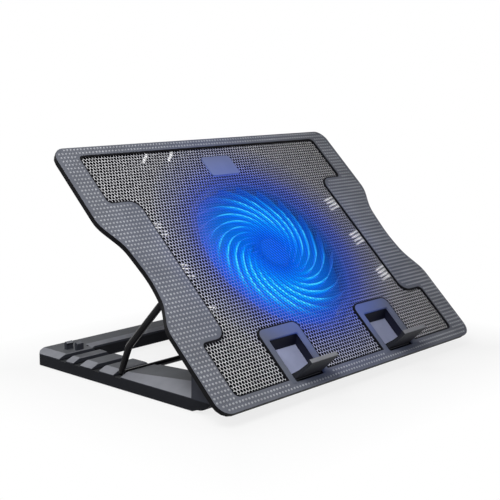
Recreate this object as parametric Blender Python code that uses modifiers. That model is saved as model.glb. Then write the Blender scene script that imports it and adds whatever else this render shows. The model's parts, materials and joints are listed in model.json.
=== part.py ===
"""Laptop cooling pad: a mesh-topped fan deck hinged on an open base and held up by a bent wire prop."""

import math

import bmesh
import bpy
from mathutils import Matrix, Vector

# Gaps, in metres like every length here
SEAT_GAP = 0.0003
RUNNING_GAP = 0.0004

# Deck outline, measured along the deck: across it, and up it from its front edge
DECK_TILT = math.radians(43.94)
DECK_WIDTH = 0.380
DECK_DEPTH = 0.2870
DECK_CORNER = 0.0135
REAR_FLARE = 0.0030
LOWER_WING_END = 0.0865
WAIST_START = 0.1110
WAIST_START_INSET = 0.0125
WAIST_MIDDLE = 0.1360
WAIST_INSET = 0.0158
WAIST_TO_REAR = 0.1130
WAIST_END_INSET = 0.0115
UPPER_WING_DEPTH = 0.0870
WING_RADIUS = 0.0300
SHOULDER_RADIUS = 0.0420
WAIST_RADIUS = 0.1000

# Layers of the deck, measured down from its top face
BEZEL_THICKNESS = 0.0018
BEZEL_EDGE = 0.0006
MESH_THICKNESS = 0.0009
RIM_DEPTH = 0.0052
SHELL_WALL = 0.0019
SHELL_INSET = 0.0004
SIDE_VENTS = 4
SIDE_VENT_WIDTH = 0.0027
SIDE_VENT_LENGTH = 0.0200
SIDE_VENT_PITCH = 0.0042
SIDE_VENT_SLANT = math.radians(12)
SIDE_VENT_INSIDE_NECK = 0.0065
SIDE_VENT_SPACING = 0.0475
SIDE_VENT_FROM_FRONT = 0.1420
REAR_VENT_WIDTH = 0.0030
REAR_VENT_LENGTH = 0.0190
REAR_VENT_SLANT = math.radians(40)
REAR_VENT_FROM_REAR = 0.0160
FIRST_REAR_VENT = -0.0880
SECOND_REAR_VENT = -0.0545
THIRD_REAR_VENT = 0.0750

# Borders of the bezel round its mesh opening, and the depth of the opening's two wide ends
FRONT_BORDER = 0.0119
REAR_BORDER = 0.0098
LOWER_SIDE_BORDER = 0.0250
NECK_SIDE_BORDER = 0.0555
UPPER_SIDE_BORDER = 0.0220
LOWER_LOBE_DEPTH = 0.0555
UPPER_LOBE_DEPTH = 0.0568
LOBE_CORNER = 0.0055
NECK_CORNER = 0.0115

# Perforated panel
MESH_LAP = 0.0030
MESH_PITCH = 0.0275
MESH_HOLE = 0.0200
MESH_MARGIN = 0.0030
PLATE_WIDTH = 0.040
PLATE_DEPTH = 0.024
PLATE_THICKNESS = 0.0012
PLATE_FROM_REAR = 0.0350
PLATE_CORNER = 0.0030

# Flip-up stops and the trays that they fold into
STOP_OFFSET = 0.0704
STOP_FRAME_WIDTH = 0.0530
STOP_FRAME_END = 0.0650
STOP_FRAME_CORNER = 0.0070
WINDOW_WIDTH = 0.0400
WINDOW_FRONT = 0.0085
WINDOW_END = 0.0535
WINDOW_CORNER = 0.0020
TRAY_DEPTH = 0.0107
TRAY_RAMP = 0.0065
TRAY_WALL = 0.0018
FLAP_WIDTH = 0.0372
FLAP_THICKNESS = 0.0030
FLAP_LENGTH = 0.0298
FLAP_LIP = 0.0014
FLAP_LEAN = 0.0012
FLAP_FILLET = 0.0029
FLAP_BARREL_RADIUS = 0.0030
STOP_PIN_RADIUS = 0.0012
STOP_PIN_FROM_FRONT = 0.0135
STOP_PIN_BELOW = 0.0055

# Fan
FAN_FROM_FRONT = 0.1455
DRUM_CLEARANCE = 0.0060
DRUM_FLANGE = 0.0030
DRUM_FLANGE_THICKNESS = 0.0018
DRUM_DEPTH = 0.0240
DRUM_FLOOR = 0.0020
DRUM_WALL = 0.0020
INTAKE_SLOTS = 16
INTAKE_SLOT_WIDTH = 0.0085
INTAKE_INNER = 0.0290
INTAKE_OUTER = 0.0880
FAN_RING_INNER = 0.0865
FAN_RING_WALL = 0.0040
FAN_RING_TOP = 0.0075
FAN_PLATE_RADIUS = 0.0190
FAN_PLATE_THICKNESS = 0.0015
SPOKES = 4
SPOKE_WIDTH = 0.0060
BEARING_TUBE_RADIUS = 0.0044
BEARING_TUBE_WALL = 0.0010
BEARING_WALL = 0.0013
SHAFT_RADIUS = 0.00125
ROTOR_TOP = 0.0072
HUB_RADIUS = 0.0170
HUB_HEIGHT = 0.0110
HUB_WALL = 0.0020
HUB_CROWN = 0.0018
HUB_BOSS_RADIUS = 0.0030
HUB_BOSS_DEPTH = 0.0014
HUB_EDGE = 0.0015
BLADES = 20
BLADE_TIP_RADIUS = 0.0835
BLADE_TOP = 0.0008
BLADE_HEIGHT = 0.0092
BLADE_LEAN = 0.0050
BLADE_THICKNESS = 0.0012
BLADE_SWEEP = 2.2
BLADE_SWEEP_RADIUS = 0.030
MAGNET_WALL = 0.0015
STATOR_AIR_GAP = 0.0007
STATOR_HEIGHT = 0.0058
STATOR_SLOTS = 9
STATOR_SLOT_WIDTH = 0.0022
BOARD_THICKNESS = 0.0010
LED_COUNT = 4
LED_RADIUS = 0.0022
LED_LENGTH = 0.0055
LED_BELOW = 0.0140

# Hinge between deck and base, at the front
HINGE_FROM_FRONT = 0.0380
HINGE_BELOW = 0.0312
HINGE_HEIGHT = 0.0176
HINGE_PIN_RADIUS = 0.0030
HINGE_PIN_CAP = 0.0024
LUG_WIDTH = 0.0190
LUG_RADIUS = 0.0090
LUG_FROM_SIDE = 0.0179
LUG_FOOT_WIDTH = 0.0310
LUG_FOOT_THICKNESS = 0.0025
LUG_ROOT_FRONT = 0.0160
LUG_ROOT_REAR = 0.0240
KNUCKLE_WIDTH = 0.0509
KNUCKLE_REAR = 0.0070
KNUCKLE_RISE = 0.0022
LUG_NOTCH_REAR = 0.0130

# Base frame, measured back from the hinge axis and up from the table
BASE_SIDE_INSET = 0.0211
BASE_REAR = 0.2159
BASE_REAR_CUT = 0.0040
BASE_REAR_CORNER = 0.0025
RAIL_WIDTH = 0.0439
RAIL_SIDE_HEIGHT = 0.0124
RAIL_TOP = 0.0162
RAIL_FRONT_TOP = 0.0210
RAIL_CHAMFER = 0.0088
RAIL_INNER_CHAMFER = 0.0030
REAR_BAR_DEPTH = 0.0245
REAR_BAR_CHAMFER = 0.0050
FRAME_INNER_CORNER = 0.0080
FRONT_BAR_DEPTH = 0.0180
FRONT_BAR_TOP = 0.0110
FIRST_NOTCH = 0.1006
SECOND_NOTCH = 0.1299
THIRD_NOTCH = 0.1564
FOURTH_NOTCH = 0.1769
NOTCH_WIDTH = 0.0100
NOTCH_FLOOR = 0.0110
NOTCH_LEAD_IN = 0.0009
PRONG_HEIGHT = 0.0078
PRONG_THICKNESS = 0.0032
PRONG_WIDTH = 0.0080
PRONG_FROM_SIDE = 0.0242
PRONG_BEHIND_NOTCH = 0.0065
PRONG_STAGGER = 0.0050
PRONG_HOOK = 0.0010
CELL_WALL = 0.0025
CELL_TOP = 0.0085
CELL_DEPTH = 0.0300
FOOT_RADIUS = 0.0070
FOOT_HEIGHT = 0.0022
FOOT_PROUD = 0.0012
FOOT_INSET = 0.0200

# Wire prop
PROP_PIVOT_FROM_FRONT = 0.1189
PROP_PIVOT_BELOW = 0.0120
PROP_ARM_INSET = 0.0033
PROP_ARM_RADIUS = 0.0032
PROP_ROD_RADIUS = 0.0028
PROP_PIN_LENGTH = 0.0150
PROP_SEAT_FORWARD = 0.0017
PROP_KINK_ALONG = 0.0622
PROP_KINK_OFFSET = 0.0072
PROP_BEND = 0.0042
PROP_KINK_BEND = 0.0120
BRACKET_GAP = 0.0022
BRACKET_WIDTH = 0.0120
BRACKET_LENGTH = 0.0180
BRACKET_RADIUS = 0.0055

# Power sockets at the rear edge
SOCKET_OFFSET = 0.1100
SOCKET_SPACING = 0.0260
SOCKET_WIDTH = 0.0142
SOCKET_HEIGHT = 0.0068
SOCKET_DEPTH = 0.0140
SOCKET_WALL = 0.0006
SOCKET_BOX_WALL = 0.0022
SOCKET_BOARD_DEPTH = 0.0100

# Screws that hold the two halves of the deck together
SCREW_HEAD_RADIUS = 0.0026
SCREW_HEAD_HEIGHT = 0.0009
SCREW_SHANK_RADIUS = 0.0012
SCREW_SIDE_INSET = 0.0090
SCREW_WAIST_INSET = 0.0160
SCREW_FROM_FRONT = 0.0300
SCREW_FROM_REAR = 0.0310

# Roundness of the solids
ARC_STEPS = 4
ROUND_STEPS = 44
SMALL_ROUND_STEPS = 16
TINY_ROUND_STEPS = 10

# Arcs whose reaches pass this share of the edge between them overlap, and shrink to the second share
ARC_OVERLAP_SHARE = 1.001
ARC_FITTED_SHARE = 0.96

# Places that follow from the sizes above
DECK_HALF = DECK_WIDTH / 2
REAR_HALF = DECK_HALF + REAR_FLARE
WAIST_HALF = DECK_HALF - WAIST_INSET
WAIST_END = DECK_DEPTH - WAIST_TO_REAR
UPPER_WING_START = DECK_DEPTH - UPPER_WING_DEPTH
OPENING_REAR = DECK_DEPTH - REAR_BORDER
LOWER_LOBE_WIDTH = DECK_WIDTH - 2 * LOWER_SIDE_BORDER
LOWER_LOBE_END = FRONT_BORDER + LOWER_LOBE_DEPTH
NECK_WIDTH = DECK_WIDTH - 2 * NECK_SIDE_BORDER
UPPER_LOBE_WIDTH = DECK_WIDTH - 2 * UPPER_SIDE_BORDER
UPPER_LOBE_START = OPENING_REAR - UPPER_LOBE_DEPTH
PLATE_FROM_FRONT = DECK_DEPTH - PLATE_FROM_REAR
SCREW_ROWS = (SCREW_FROM_FRONT, (WAIST_START + WAIST_END) / 2, DECK_DEPTH - SCREW_FROM_REAR)
MESH_TOP = BEZEL_THICKNESS + SEAT_GAP
MESH_BOTTOM = MESH_TOP + MESH_THICKNESS
SHELL_TOP = BEZEL_THICKNESS + SEAT_GAP
SHELL_FLOOR = RIM_DEPTH - SHELL_WALL
UNDERSIDE = RIM_DEPTH + SEAT_GAP
DRUM_INSIDE = DRUM_DEPTH - DRUM_FLOOR
FAN_PLATE_BOTTOM = DRUM_INSIDE - SEAT_GAP
FAN_PLATE_TOP = FAN_PLATE_BOTTOM - FAN_PLATE_THICKNESS
FAN_RING_OUTER = FAN_RING_INNER + FAN_RING_WALL
DRUM_INNER = FAN_RING_OUTER + DRUM_CLEARANCE
DRUM_RADIUS = DRUM_INNER + DRUM_WALL
HUB_INNER = HUB_RADIUS - HUB_WALL
HUB_BOTTOM = ROTOR_TOP + HUB_HEIGHT
BOSS_BOTTOM = ROTOR_TOP + HUB_CROWN + HUB_BOSS_DEPTH
BEARING_TUBE_TOP = BOSS_BOTTOM + 2 * SEAT_GAP
TUBE_BORE = BEARING_TUBE_RADIUS - BEARING_TUBE_WALL
MAGNET_OUTER = HUB_INNER - SEAT_GAP
STATOR_RADIUS = MAGNET_OUTER - MAGNET_WALL - STATOR_AIR_GAP
BOARD_TOP = FAN_PLATE_TOP - SEAT_GAP - BOARD_THICKNESS
STATOR_BOTTOM = BOARD_TOP - SEAT_GAP
BASE_WIDTH = DECK_WIDTH - 2 * BASE_SIDE_INSET
BASE_HALF = BASE_WIDTH / 2
KNUCKLE_INNER = BASE_HALF - KNUCKLE_WIDTH
LUG_INNER = BASE_HALF - LUG_FROM_SIDE - LUG_WIDTH
PROP_ARM_SPAN = BASE_WIDTH - 2 * PROP_ARM_INSET
RAIL_INNER = BASE_HALF - RAIL_WIDTH
BASE_BOTTOM = FOOT_PROUD
KNUCKLE_RADIUS = HINGE_HEIGHT - BASE_BOTTOM
REAR_BAR_FRONT = BASE_REAR - REAR_BAR_DEPTH
NOTCHES_FROM_HINGE = (FIRST_NOTCH, SECOND_NOTCH, THIRD_NOTCH, FOURTH_NOTCH)
TRAY_HALF = WINDOW_WIDTH / 2 + SEAT_GAP + TRAY_WALL
TRAY_FRONT = WINDOW_FRONT - SEAT_GAP - TRAY_WALL
TRAY_REAR = WINDOW_END + SEAT_GAP + TRAY_WALL
SOCKET_BELOW = UNDERSIDE + SOCKET_BOX_WALL + SEAT_GAP + SOCKET_HEIGHT / 2
SOCKET_BOX_BELOW = SOCKET_BELOW + SOCKET_HEIGHT / 2 + SEAT_GAP + SOCKET_BOX_WALL
SOCKET_BOX_LENGTH = SOCKET_DEPTH + SOCKET_BOARD_DEPTH + SOCKET_BOX_WALL
SOCKET_REAR = DECK_DEPTH - 2 * SHELL_INSET


def deck_to_side(along, below):
    """Where a point of the tilted deck lies in side view: (back from the hinge axis, up from the table)."""
    ahead = along - HINGE_FROM_FRONT
    above = HINGE_BELOW - below
    back = ahead * math.cos(DECK_TILT) - above * math.sin(DECK_TILT)
    up = ahead * math.sin(DECK_TILT) + above * math.cos(DECK_TILT)
    return back, HINGE_HEIGHT + up


PROP_BACK, PROP_UP = deck_to_side(PROP_PIVOT_FROM_FRONT, PROP_PIVOT_BELOW)


# Scene and materials

def clear_scene():
    for found in list(bpy.data.objects):
        bpy.data.objects.remove(found)


def new_collection(name):
    made = bpy.data.collections.new(name)
    bpy.context.scene.collection.children.link(made)
    return made


def new_material(name, colour, roughness, metallic=0.0):
    made = bpy.data.materials.new(name)
    made.use_nodes = True
    shader = made.node_tree.nodes["Principled BSDF"]
    shader.inputs["Base Color"].default_value = (*colour, 1.0)
    shader.inputs["Roughness"].default_value = roughness
    shader.inputs["Metallic"].default_value = metallic
    return made


clear_scene()
PARTS = new_collection("laptop_cooling_pad")
CUTTERS = new_collection("cutters")

BEZEL_GREY = new_material("bezel_grey", (0.105, 0.110, 0.120), 0.55)
SHELL_BLACK = new_material("shell_black", (0.014, 0.014, 0.016), 0.50)
BASE_GREY = new_material("base_grey", (0.045, 0.047, 0.053), 0.60)
MESH_METAL = new_material("mesh_metal", (0.200, 0.205, 0.215), 0.40, 0.8)
ROTOR_BLUE = new_material("rotor_blue", (0.010, 0.180, 0.900), 0.25)
FAN_BLACK = new_material("fan_black", (0.020, 0.020, 0.025), 0.45)
STEEL = new_material("steel", (0.55, 0.55, 0.57), 0.30, 1.0)
PROP_BLACK = new_material("prop_black", (0.008, 0.008, 0.009), 0.25)
RUBBER = new_material("rubber", (0.012, 0.012, 0.012), 0.85)
BOARD_GREEN = new_material("board_green", (0.010, 0.085, 0.030), 0.50)
LED_BLUE = new_material("led_blue", (0.050, 0.300, 1.000), 0.15)
IRON = new_material("iron", (0.180, 0.150, 0.130), 0.50, 0.7)
BRONZE = new_material("bronze", (0.450, 0.280, 0.120), 0.40, 1.0)


# Modelling tools

def add_part(name, mesh, look, parent, location=(0, 0, 0), smooth=None):
    """A finished piece, shaded smooth below the given angle where one is given."""
    made = bpy.data.objects.new(name, mesh)
    made.parent = parent
    made.location = location
    mesh.materials.append(look)
    if smooth is not None:
        mesh.shade_smooth()
        mesh.set_sharp_from_angle(angle=smooth)
    PARTS.objects.link(made)
    return made


def add_helper(name, mesh, parent, location=(0, 0, 0), turn=0.0):
    """A shape that cuts a piece or is joined to it, and isn't a piece itself."""
    made = bpy.data.objects.new(name, mesh)
    made.parent = parent
    made.location = location
    made.rotation_euler = (0, 0, turn)
    made.hide_render = True
    made.display_type = "WIRE"
    CUTTERS.objects.link(made)
    return made


def combine(piece, helper, operation):
    step = piece.modifiers.new(operation.lower() + "_" + helper.name, "BOOLEAN")
    step.operation = operation
    step.object = helper
    step.solver = "EXACT"


def cut(piece, *helpers):
    for helper in helpers:
        combine(piece, helper, "DIFFERENCE")


def join(piece, *helpers):
    for helper in helpers:
        combine(piece, helper, "UNION")


def mesh_of_curve(curve, matrix):
    """The closed mesh of a curve's fill or tube, with its loose caps welded on."""
    guide = bpy.data.objects.new(curve.name, curve)
    bpy.context.scene.collection.objects.link(guide)
    graph = bpy.context.evaluated_depsgraph_get()
    mesh = bpy.data.meshes.new_from_object(guide.evaluated_get(graph))
    mesh.name = curve.name
    mesh.materials.clear()
    bpy.data.objects.remove(guide)
    work = bmesh.new()
    work.from_mesh(mesh)
    bmesh.ops.remove_doubles(work, verts=work.verts, dist=1e-6)
    bmesh.ops.transform(work, matrix=matrix, verts=work.verts)
    bmesh.ops.recalc_face_normals(work, faces=work.faces)
    work.to_mesh(mesh)
    work.free()
    return mesh


def prism(name, loop, low, high):
    """One outline in plan, closed and extruded between two heights."""
    mesh = bpy.data.meshes.new(name)
    work = bmesh.new()
    floor = work.faces.new([work.verts.new((x, y, low)) for x, y in loop])
    lifted = bmesh.ops.extrude_face_region(work, geom=[floor], use_keep_orig=True)
    raised = [item for item in lifted["geom"] if isinstance(item, bmesh.types.BMVert)]
    bmesh.ops.translate(work, vec=(0, 0, high - low), verts=raised)
    bmesh.ops.recalc_face_normals(work, faces=work.faces)
    work.to_mesh(mesh)
    work.free()
    return mesh


def slab(name, loops, low, high):
    """Outlines in plan, filled and extruded between two heights. A loop inside another is a hole."""
    if len(loops) == 1:
        return prism(name, loops[0], low, high)
    curve = bpy.data.curves.new(name, "CURVE")
    curve.dimensions = "2D"
    curve.fill_mode = "BOTH"
    curve.extrude = (high - low) / 2
    for loop in loops:
        spline = curve.splines.new("POLY")
        spline.points.add(len(loop) - 1)
        spline.use_cyclic_u = True
        for point, (x, y) in zip(spline.points, loop):
            point.co = (x, y, 0, 1)
    return mesh_of_curve(curve, Matrix.Translation((0, 0, (low + high) / 2)))


# Turns plan axes into side view: plan x runs back, plan y runs up and the thickness runs across
SIDE_VIEW = Matrix(((0, 0, 1, 0), (1, 0, 0, 0), (0, 1, 0, 0), (0, 0, 0, 1)))


def side_slab(name, loops, left, right):
    """Outlines in side view, as (back, up) points, extruded across from left to right."""
    mesh = slab(name, loops, left, right)
    mesh.transform(SIDE_VIEW)
    return mesh


def box(name, low, high):
    mesh = bpy.data.meshes.new(name)
    work = bmesh.new()
    bmesh.ops.create_cube(work, size=1)
    middle = (Vector(low) + Vector(high)) / 2
    span = Vector(high) - Vector(low)
    bmesh.ops.scale(work, vec=span, verts=work.verts)
    bmesh.ops.translate(work, vec=middle, verts=work.verts)
    work.to_mesh(mesh)
    work.free()
    return mesh


def cylinder(name, radius, low, high, steps=SMALL_ROUND_STEPS, axis="Z"):
    """A closed cylinder between two places on its axis."""
    mesh = bpy.data.meshes.new(name)
    work = bmesh.new()
    depth = high - low
    bmesh.ops.create_cone(work, cap_ends=True, segments=steps, radius1=radius, radius2=radius, depth=depth)
    bmesh.ops.translate(work, vec=(0, 0, (low + high) / 2), verts=work.verts)
    if axis == "X":
        bmesh.ops.rotate(work, cent=(0, 0, 0), matrix=Matrix.Rotation(math.pi / 2, 3, "Y"), verts=work.verts)
    work.to_mesh(mesh)
    work.free()
    return mesh


def turned(name, profile, look, parent, location=(0, 0, 0), steps=ROUND_STEPS, closed=False):
    """A piece turned about its own Z axis from a profile of (radius, height) points, outer side downwards."""
    edges = [(index, index + 1) for index in range(len(profile) - 1)]
    if closed:
        edges.append((len(profile) - 1, 0))
    mesh = bpy.data.meshes.new(name)
    mesh.from_pydata([(radius, 0, height) for radius, height in profile], edges, [])
    piece = add_part(name, mesh, look, parent, location)
    spin = piece.modifiers.new("turn", "SCREW")
    spin.axis = "Z"
    spin.angle = 2 * math.pi
    spin.steps = steps
    spin.render_steps = steps
    spin.use_merge_vertices = True
    spin.merge_threshold = 0.00001
    spin.use_smooth_shade = False
    return piece


def fitted(corners):
    """The corners, with smaller radii where two arcs would overlap on the edge between them."""
    spots = [Vector((x, y)) for x, y, _ in corners]
    edges = [spot - spots[index - 1] for index, spot in enumerate(spots)]
    onward = edges[1:] + edges[:1]
    reaches = [
        radius * math.tan(edge.angle(after) / 2) if radius > 0 else 0.0
        for (_, _, radius), edge, after in zip(corners, edges, onward)
    ]
    room = []
    for index, edge in enumerate(edges):
        wanted = reaches[index - 1] + reaches[index]
        overlaps = wanted > ARC_OVERLAP_SHARE * edge.length
        room.append(ARC_FITTED_SHARE * edge.length / wanted if overlaps else 1.0)
    room_after = room[1:] + room[:1]
    return [(x, y, radius * min(pair)) for (x, y, radius), pair in zip(corners, zip(room, room_after))]


def rounded(corners, steps=ARC_STEPS):
    """The closed outline through (x, y, radius) corners, each rounded with an arc that fits its edges."""
    points = []
    for index, (x, y, radius) in enumerate(fitted(corners)):
        corner = Vector((x, y))
        to_last = (Vector(corners[index - 1][:2]) - corner).normalized()
        to_next = (Vector(corners[(index + 1) % len(corners)][:2]) - corner).normalized()
        if radius <= 0:
            points.append((x, y))
            continue
        half = to_last.angle(to_next) / 2
        centre = corner + (to_last + to_next).normalized() * (radius / math.sin(half))
        reach = radius / math.tan(half)
        first = corner + to_last * reach - centre
        last = corner + to_next * reach - centre
        turn = math.atan2(first.x * last.y - first.y * last.x, first.dot(last))
        start = math.atan2(first.y, first.x)
        for step in range(steps + 1):
            angle = start + turn * step / steps
            points.append((centre.x + radius * math.cos(angle), centre.y + radius * math.sin(angle)))
    return points


def mirrored(half):
    """A full outline from the corners of its right half, listed from the front to the rear."""
    return half + [(-x, y, radius) for x, y, radius in reversed(half)]


def rectangle(left, right, front, rear, radius=0.0):
    return [(left, front, radius), (right, front, radius), (right, rear, radius), (left, rear, radius)]


def ring_points(radius, count, start=0.0, centre=(0, 0)):
    turns = [start + 2 * math.pi * index / count for index in range(count)]
    return [(centre[0] + radius * math.cos(turn), centre[1] + radius * math.sin(turn)) for turn in turns]


# Frames that the pieces are placed in

def flap_outline():
    """Side view of a raised stop from its pin: a wall leaning forwards over a filleted root, with a lip."""
    half = FLAP_THICKNESS / 2
    corner = half * 0.7
    tip = half - FLAP_LEAN
    profile = [
        (-half, 0, 0),
        (-half - FLAP_LEAN, FLAP_LENGTH, corner),
        (tip + FLAP_LIP, FLAP_LENGTH, corner / 2),
        (tip + FLAP_LIP, FLAP_LENGTH - FLAP_LIP, corner / 2),
        (tip, FLAP_LENGTH - 3 * FLAP_LIP, FLAP_LIP),
        (half, 5 * FLAP_FILLET, 3 * FLAP_FILLET),
        (half + FLAP_FILLET, FLAP_BARREL_RADIUS * 0.8, FLAP_FILLET / 3),
        (half, 0, 0),
    ]
    return rounded(profile, 3)


# The origin lies under the middle of the whole object, whose foremost point is a raised stop's lip
FRONT_REACH = min(deck_to_side(STOP_PIN_FROM_FRONT + y, STOP_PIN_BELOW - z)[0] for y, z in flap_outline())
HINGE_BACK = -(BASE_REAR + FRONT_REACH) / 2


def new_empty(name, parent, location=(0, 0, 0), tilt=0.0):
    made = bpy.data.objects.new(name, None)
    made.parent = parent
    made.location = location
    made.rotation_euler = (tilt, 0, 0)
    PARTS.objects.link(made)
    return made


BASE = new_empty("hinge_line", None, (0, HINGE_BACK, 0))
DECK_HINGE = new_empty("deck_hinge", BASE, (0, 0, HINGE_HEIGHT), DECK_TILT)
DECK = new_empty("deck_plane", DECK_HINGE, (0, -HINGE_FROM_FRONT, HINGE_BELOW))
FAN = new_empty("fan_axis", DECK, (0, FAN_FROM_FRONT, 0))
PROP = new_empty("prop_pivot", BASE, (0, PROP_BACK, PROP_UP))
STOPS = {}
for stop_side, stop_sign in (("left", -1), ("right", 1)):
    place = (stop_sign * STOP_OFFSET, STOP_PIN_FROM_FRONT, -STOP_PIN_BELOW)
    STOPS[stop_side] = new_empty("stop_hinge_" + stop_side, DECK, place)


# Outlines of the deck

def deck_outline(grow=0.0):
    half = [
        (DECK_HALF + grow, -grow, DECK_CORNER),
        (DECK_HALF + grow, LOWER_WING_END, WING_RADIUS),
        (DECK_HALF - WAIST_START_INSET + grow, WAIST_START, SHOULDER_RADIUS),
        (WAIST_HALF + grow, WAIST_MIDDLE, WAIST_RADIUS),
        (DECK_HALF - WAIST_END_INSET + grow, WAIST_END, SHOULDER_RADIUS),
        (REAR_HALF + grow, UPPER_WING_START, WING_RADIUS),
        (REAR_HALF + grow, DECK_DEPTH + grow, DECK_CORNER),
    ]
    return rounded(mirrored(half))


def opening_corners(grow=0.0, around_stops=True):
    """Right half of the mesh opening, grown outwards; the stop frames stand in its front edge."""
    front = FRONT_BORDER - grow
    half = []
    if around_stops:
        near = STOP_OFFSET - STOP_FRAME_WIDTH / 2 + grow
        far = STOP_OFFSET + STOP_FRAME_WIDTH / 2 - grow
        end = STOP_FRAME_END - grow
        corner = STOP_FRAME_CORNER
        half = [(near, front, 0), (near, end, corner), (far, end, corner), (far, front, 0)]
    return half + [
        (LOWER_LOBE_WIDTH / 2 + grow, front, LOBE_CORNER),
        (LOWER_LOBE_WIDTH / 2 + grow, LOWER_LOBE_END + grow, LOBE_CORNER),
        (NECK_WIDTH / 2 + grow, LOWER_LOBE_END + grow, NECK_CORNER),
        (NECK_WIDTH / 2 + grow, UPPER_LOBE_START - grow, NECK_CORNER),
        (UPPER_LOBE_WIDTH / 2 + grow, UPPER_LOBE_START - grow, LOBE_CORNER),
        (UPPER_LOBE_WIDTH / 2 + grow, OPENING_REAR + grow, LOBE_CORNER),
    ]


def opening_outline(grow=0.0, around_stops=True):
    return rounded(mirrored(opening_corners(grow, around_stops)))


def inside_by(loop, point, margin):
    """Whether a point lies inside a loop and at least a margin from its edge."""
    x, y = point
    within = False
    for index, (ax, ay) in enumerate(loop):
        bx, by = loop[index - 1]
        if (ay > y) != (by > y) and x < (bx - ax) * (y - ay) / (by - ay) + ax:
            within = not within
        side = Vector((bx - ax, by - ay))
        share = max(0.0, min(1.0, Vector((x - ax, y - ay)).dot(side) / max(side.length_squared, 1e-12)))
        if (Vector((x - ax, y - ay)) - side * share).length < margin:
            return False
    return within


# Deck pieces

def make_bezel():
    loops = [deck_outline(), opening_outline()]
    for sign in (-1, 1):
        left = sign * STOP_OFFSET - WINDOW_WIDTH / 2
        corners = rectangle(left, left + WINDOW_WIDTH, WINDOW_FRONT, WINDOW_END, WINDOW_CORNER)
        loops.append(rounded(corners, 2))
    mesh = slab("deck_bezel", loops, -BEZEL_THICKNESS, 0)
    bezel = add_part("deck_bezel", mesh, BEZEL_GREY, DECK)
    edge = bezel.modifiers.new("edge", "BEVEL")
    edge.width = BEZEL_EDGE
    edge.segments = 1
    edge.limit_method = "ANGLE"
    edge.angle_limit = math.radians(60)


def make_mesh_panel():
    outline = opening_outline(MESH_LAP)
    visible = opening_outline()
    panel = add_part("mesh_panel", slab("mesh_panel", [outline], -MESH_BOTTOM, -MESH_TOP), MESH_METAL, DECK)
    plate_half = Vector((PLATE_WIDTH / 2, PLATE_DEPTH / 2))
    row_step = MESH_PITCH * math.sqrt(3) / 2
    hole = MESH_HOLE / 2
    holes = bpy.data.meshes.new("mesh_holes")
    work = bmesh.new()
    rows = math.ceil((OPENING_REAR - FRONT_BORDER) / 2 / row_step)
    columns = math.ceil(UPPER_LOBE_WIDTH / 2 / MESH_PITCH) + 1
    for row in range(-rows, rows + 1):
        for column in range(-columns, columns + 1):
            x = (column + 0.5 * (row % 2)) * MESH_PITCH
            y = (OPENING_REAR + FRONT_BORDER) / 2 + row * row_step
            by_plate = abs(x) < plate_half.x + hole and abs(y - PLATE_FROM_FRONT) < plate_half.y + hole
            if by_plate or not inside_by(visible, (x, y), hole + MESH_MARGIN):
                continue
            middle = Matrix.Translation((x, y, -(MESH_TOP + MESH_BOTTOM) / 2))
            place = middle @ Matrix.Rotation(math.pi / 6, 4, "Z")
            bmesh.ops.create_cone(
                work, cap_ends=True, segments=6, radius1=hole, radius2=hole, depth=3 * MESH_THICKNESS, matrix=place
            )
    work.to_mesh(holes)
    work.free()
    cut(panel, add_helper("mesh_holes", holes, DECK))


def make_name_plate():
    corners = rectangle(-PLATE_WIDTH / 2, PLATE_WIDTH / 2, -PLATE_DEPTH / 2, PLATE_DEPTH / 2, PLATE_CORNER)
    low = -MESH_TOP + SEAT_GAP
    mesh = slab("name_plate", [rounded(corners, 3)], low, low + PLATE_THICKNESS)
    add_part("name_plate", mesh, FAN_BLACK, DECK, (0, PLATE_FROM_FRONT, 0))


def screw_places():
    places = []
    for row in SCREW_ROWS:
        at_waist = WAIST_START <= row <= WAIST_END
        across = WAIST_HALF - SCREW_WAIST_INSET if at_waist else DECK_HALF - SCREW_SIDE_INSET
        places += [(-across, row), (across, row)]
    return places


def lug_profile():
    """Deck hinge bracket in the deck's own side view, as (up the deck, above the top face) points."""
    arc = [math.pi + math.pi * step / (2 * ARC_STEPS) for step in range(2 * ARC_STEPS + 1)]
    root = -UNDERSIDE - LUG_FOOT_THICKNESS / 2
    points = [(HINGE_FROM_FRONT + LUG_ROOT_REAR, root), (HINGE_FROM_FRONT - LUG_ROOT_FRONT, root)]
    for angle in arc:
        points.append(
            (HINGE_FROM_FRONT + LUG_RADIUS * math.cos(angle), -HINGE_BELOW + LUG_RADIUS * math.sin(angle))
        )
    return points


def make_bottom_shell():
    """The flat lower half of the deck, open over the fan and both stop trays, with air slots at its sides."""
    mesh = slab("bottom_shell", [deck_outline(-SHELL_INSET)], -RIM_DEPTH, -SHELL_TOP)
    shell = add_part("bottom_shell", mesh, SHELL_BLACK, DECK)
    recess = opening_outline(MESH_LAP + SEAT_GAP, around_stops=False)
    cut(shell, add_helper("shell_recess", slab("shell_recess", [recess], -SHELL_FLOOR, 0), DECK))
    hole = cylinder("fan_hole", DRUM_INNER, -2 * RIM_DEPTH, 0, ROUND_STEPS)
    cut(shell, add_helper("fan_hole", hole, FAN))
    for sign in (-1, 1):
        near = sign * STOP_OFFSET - TRAY_HALF - SEAT_GAP
        far = sign * STOP_OFFSET + TRAY_HALF + SEAT_GAP
        hole = box("tray_hole", (near, TRAY_FRONT - SEAT_GAP, -2 * RIM_DEPTH), (far, TRAY_REAR + SEAT_GAP, 0))
        cut(shell, add_helper("tray_hole", hole, DECK))
    make_vents(shell)
    for x, y in screw_places():
        seat_top = -RIM_DEPTH + 2 * SCREW_HEAD_HEIGHT
        head = cylinder("screw_seat", SCREW_HEAD_RADIUS + SEAT_GAP, -2 * RIM_DEPTH, seat_top)
        shank = cylinder("screw_hole", SCREW_SHANK_RADIUS + SEAT_GAP, -RIM_DEPTH, 0)
        seat = add_helper("screw_seat", head, DECK, (x, y, 0))
        cut(shell, seat, add_helper("screw_hole", shank, DECK, (x, y, 0)))


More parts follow.
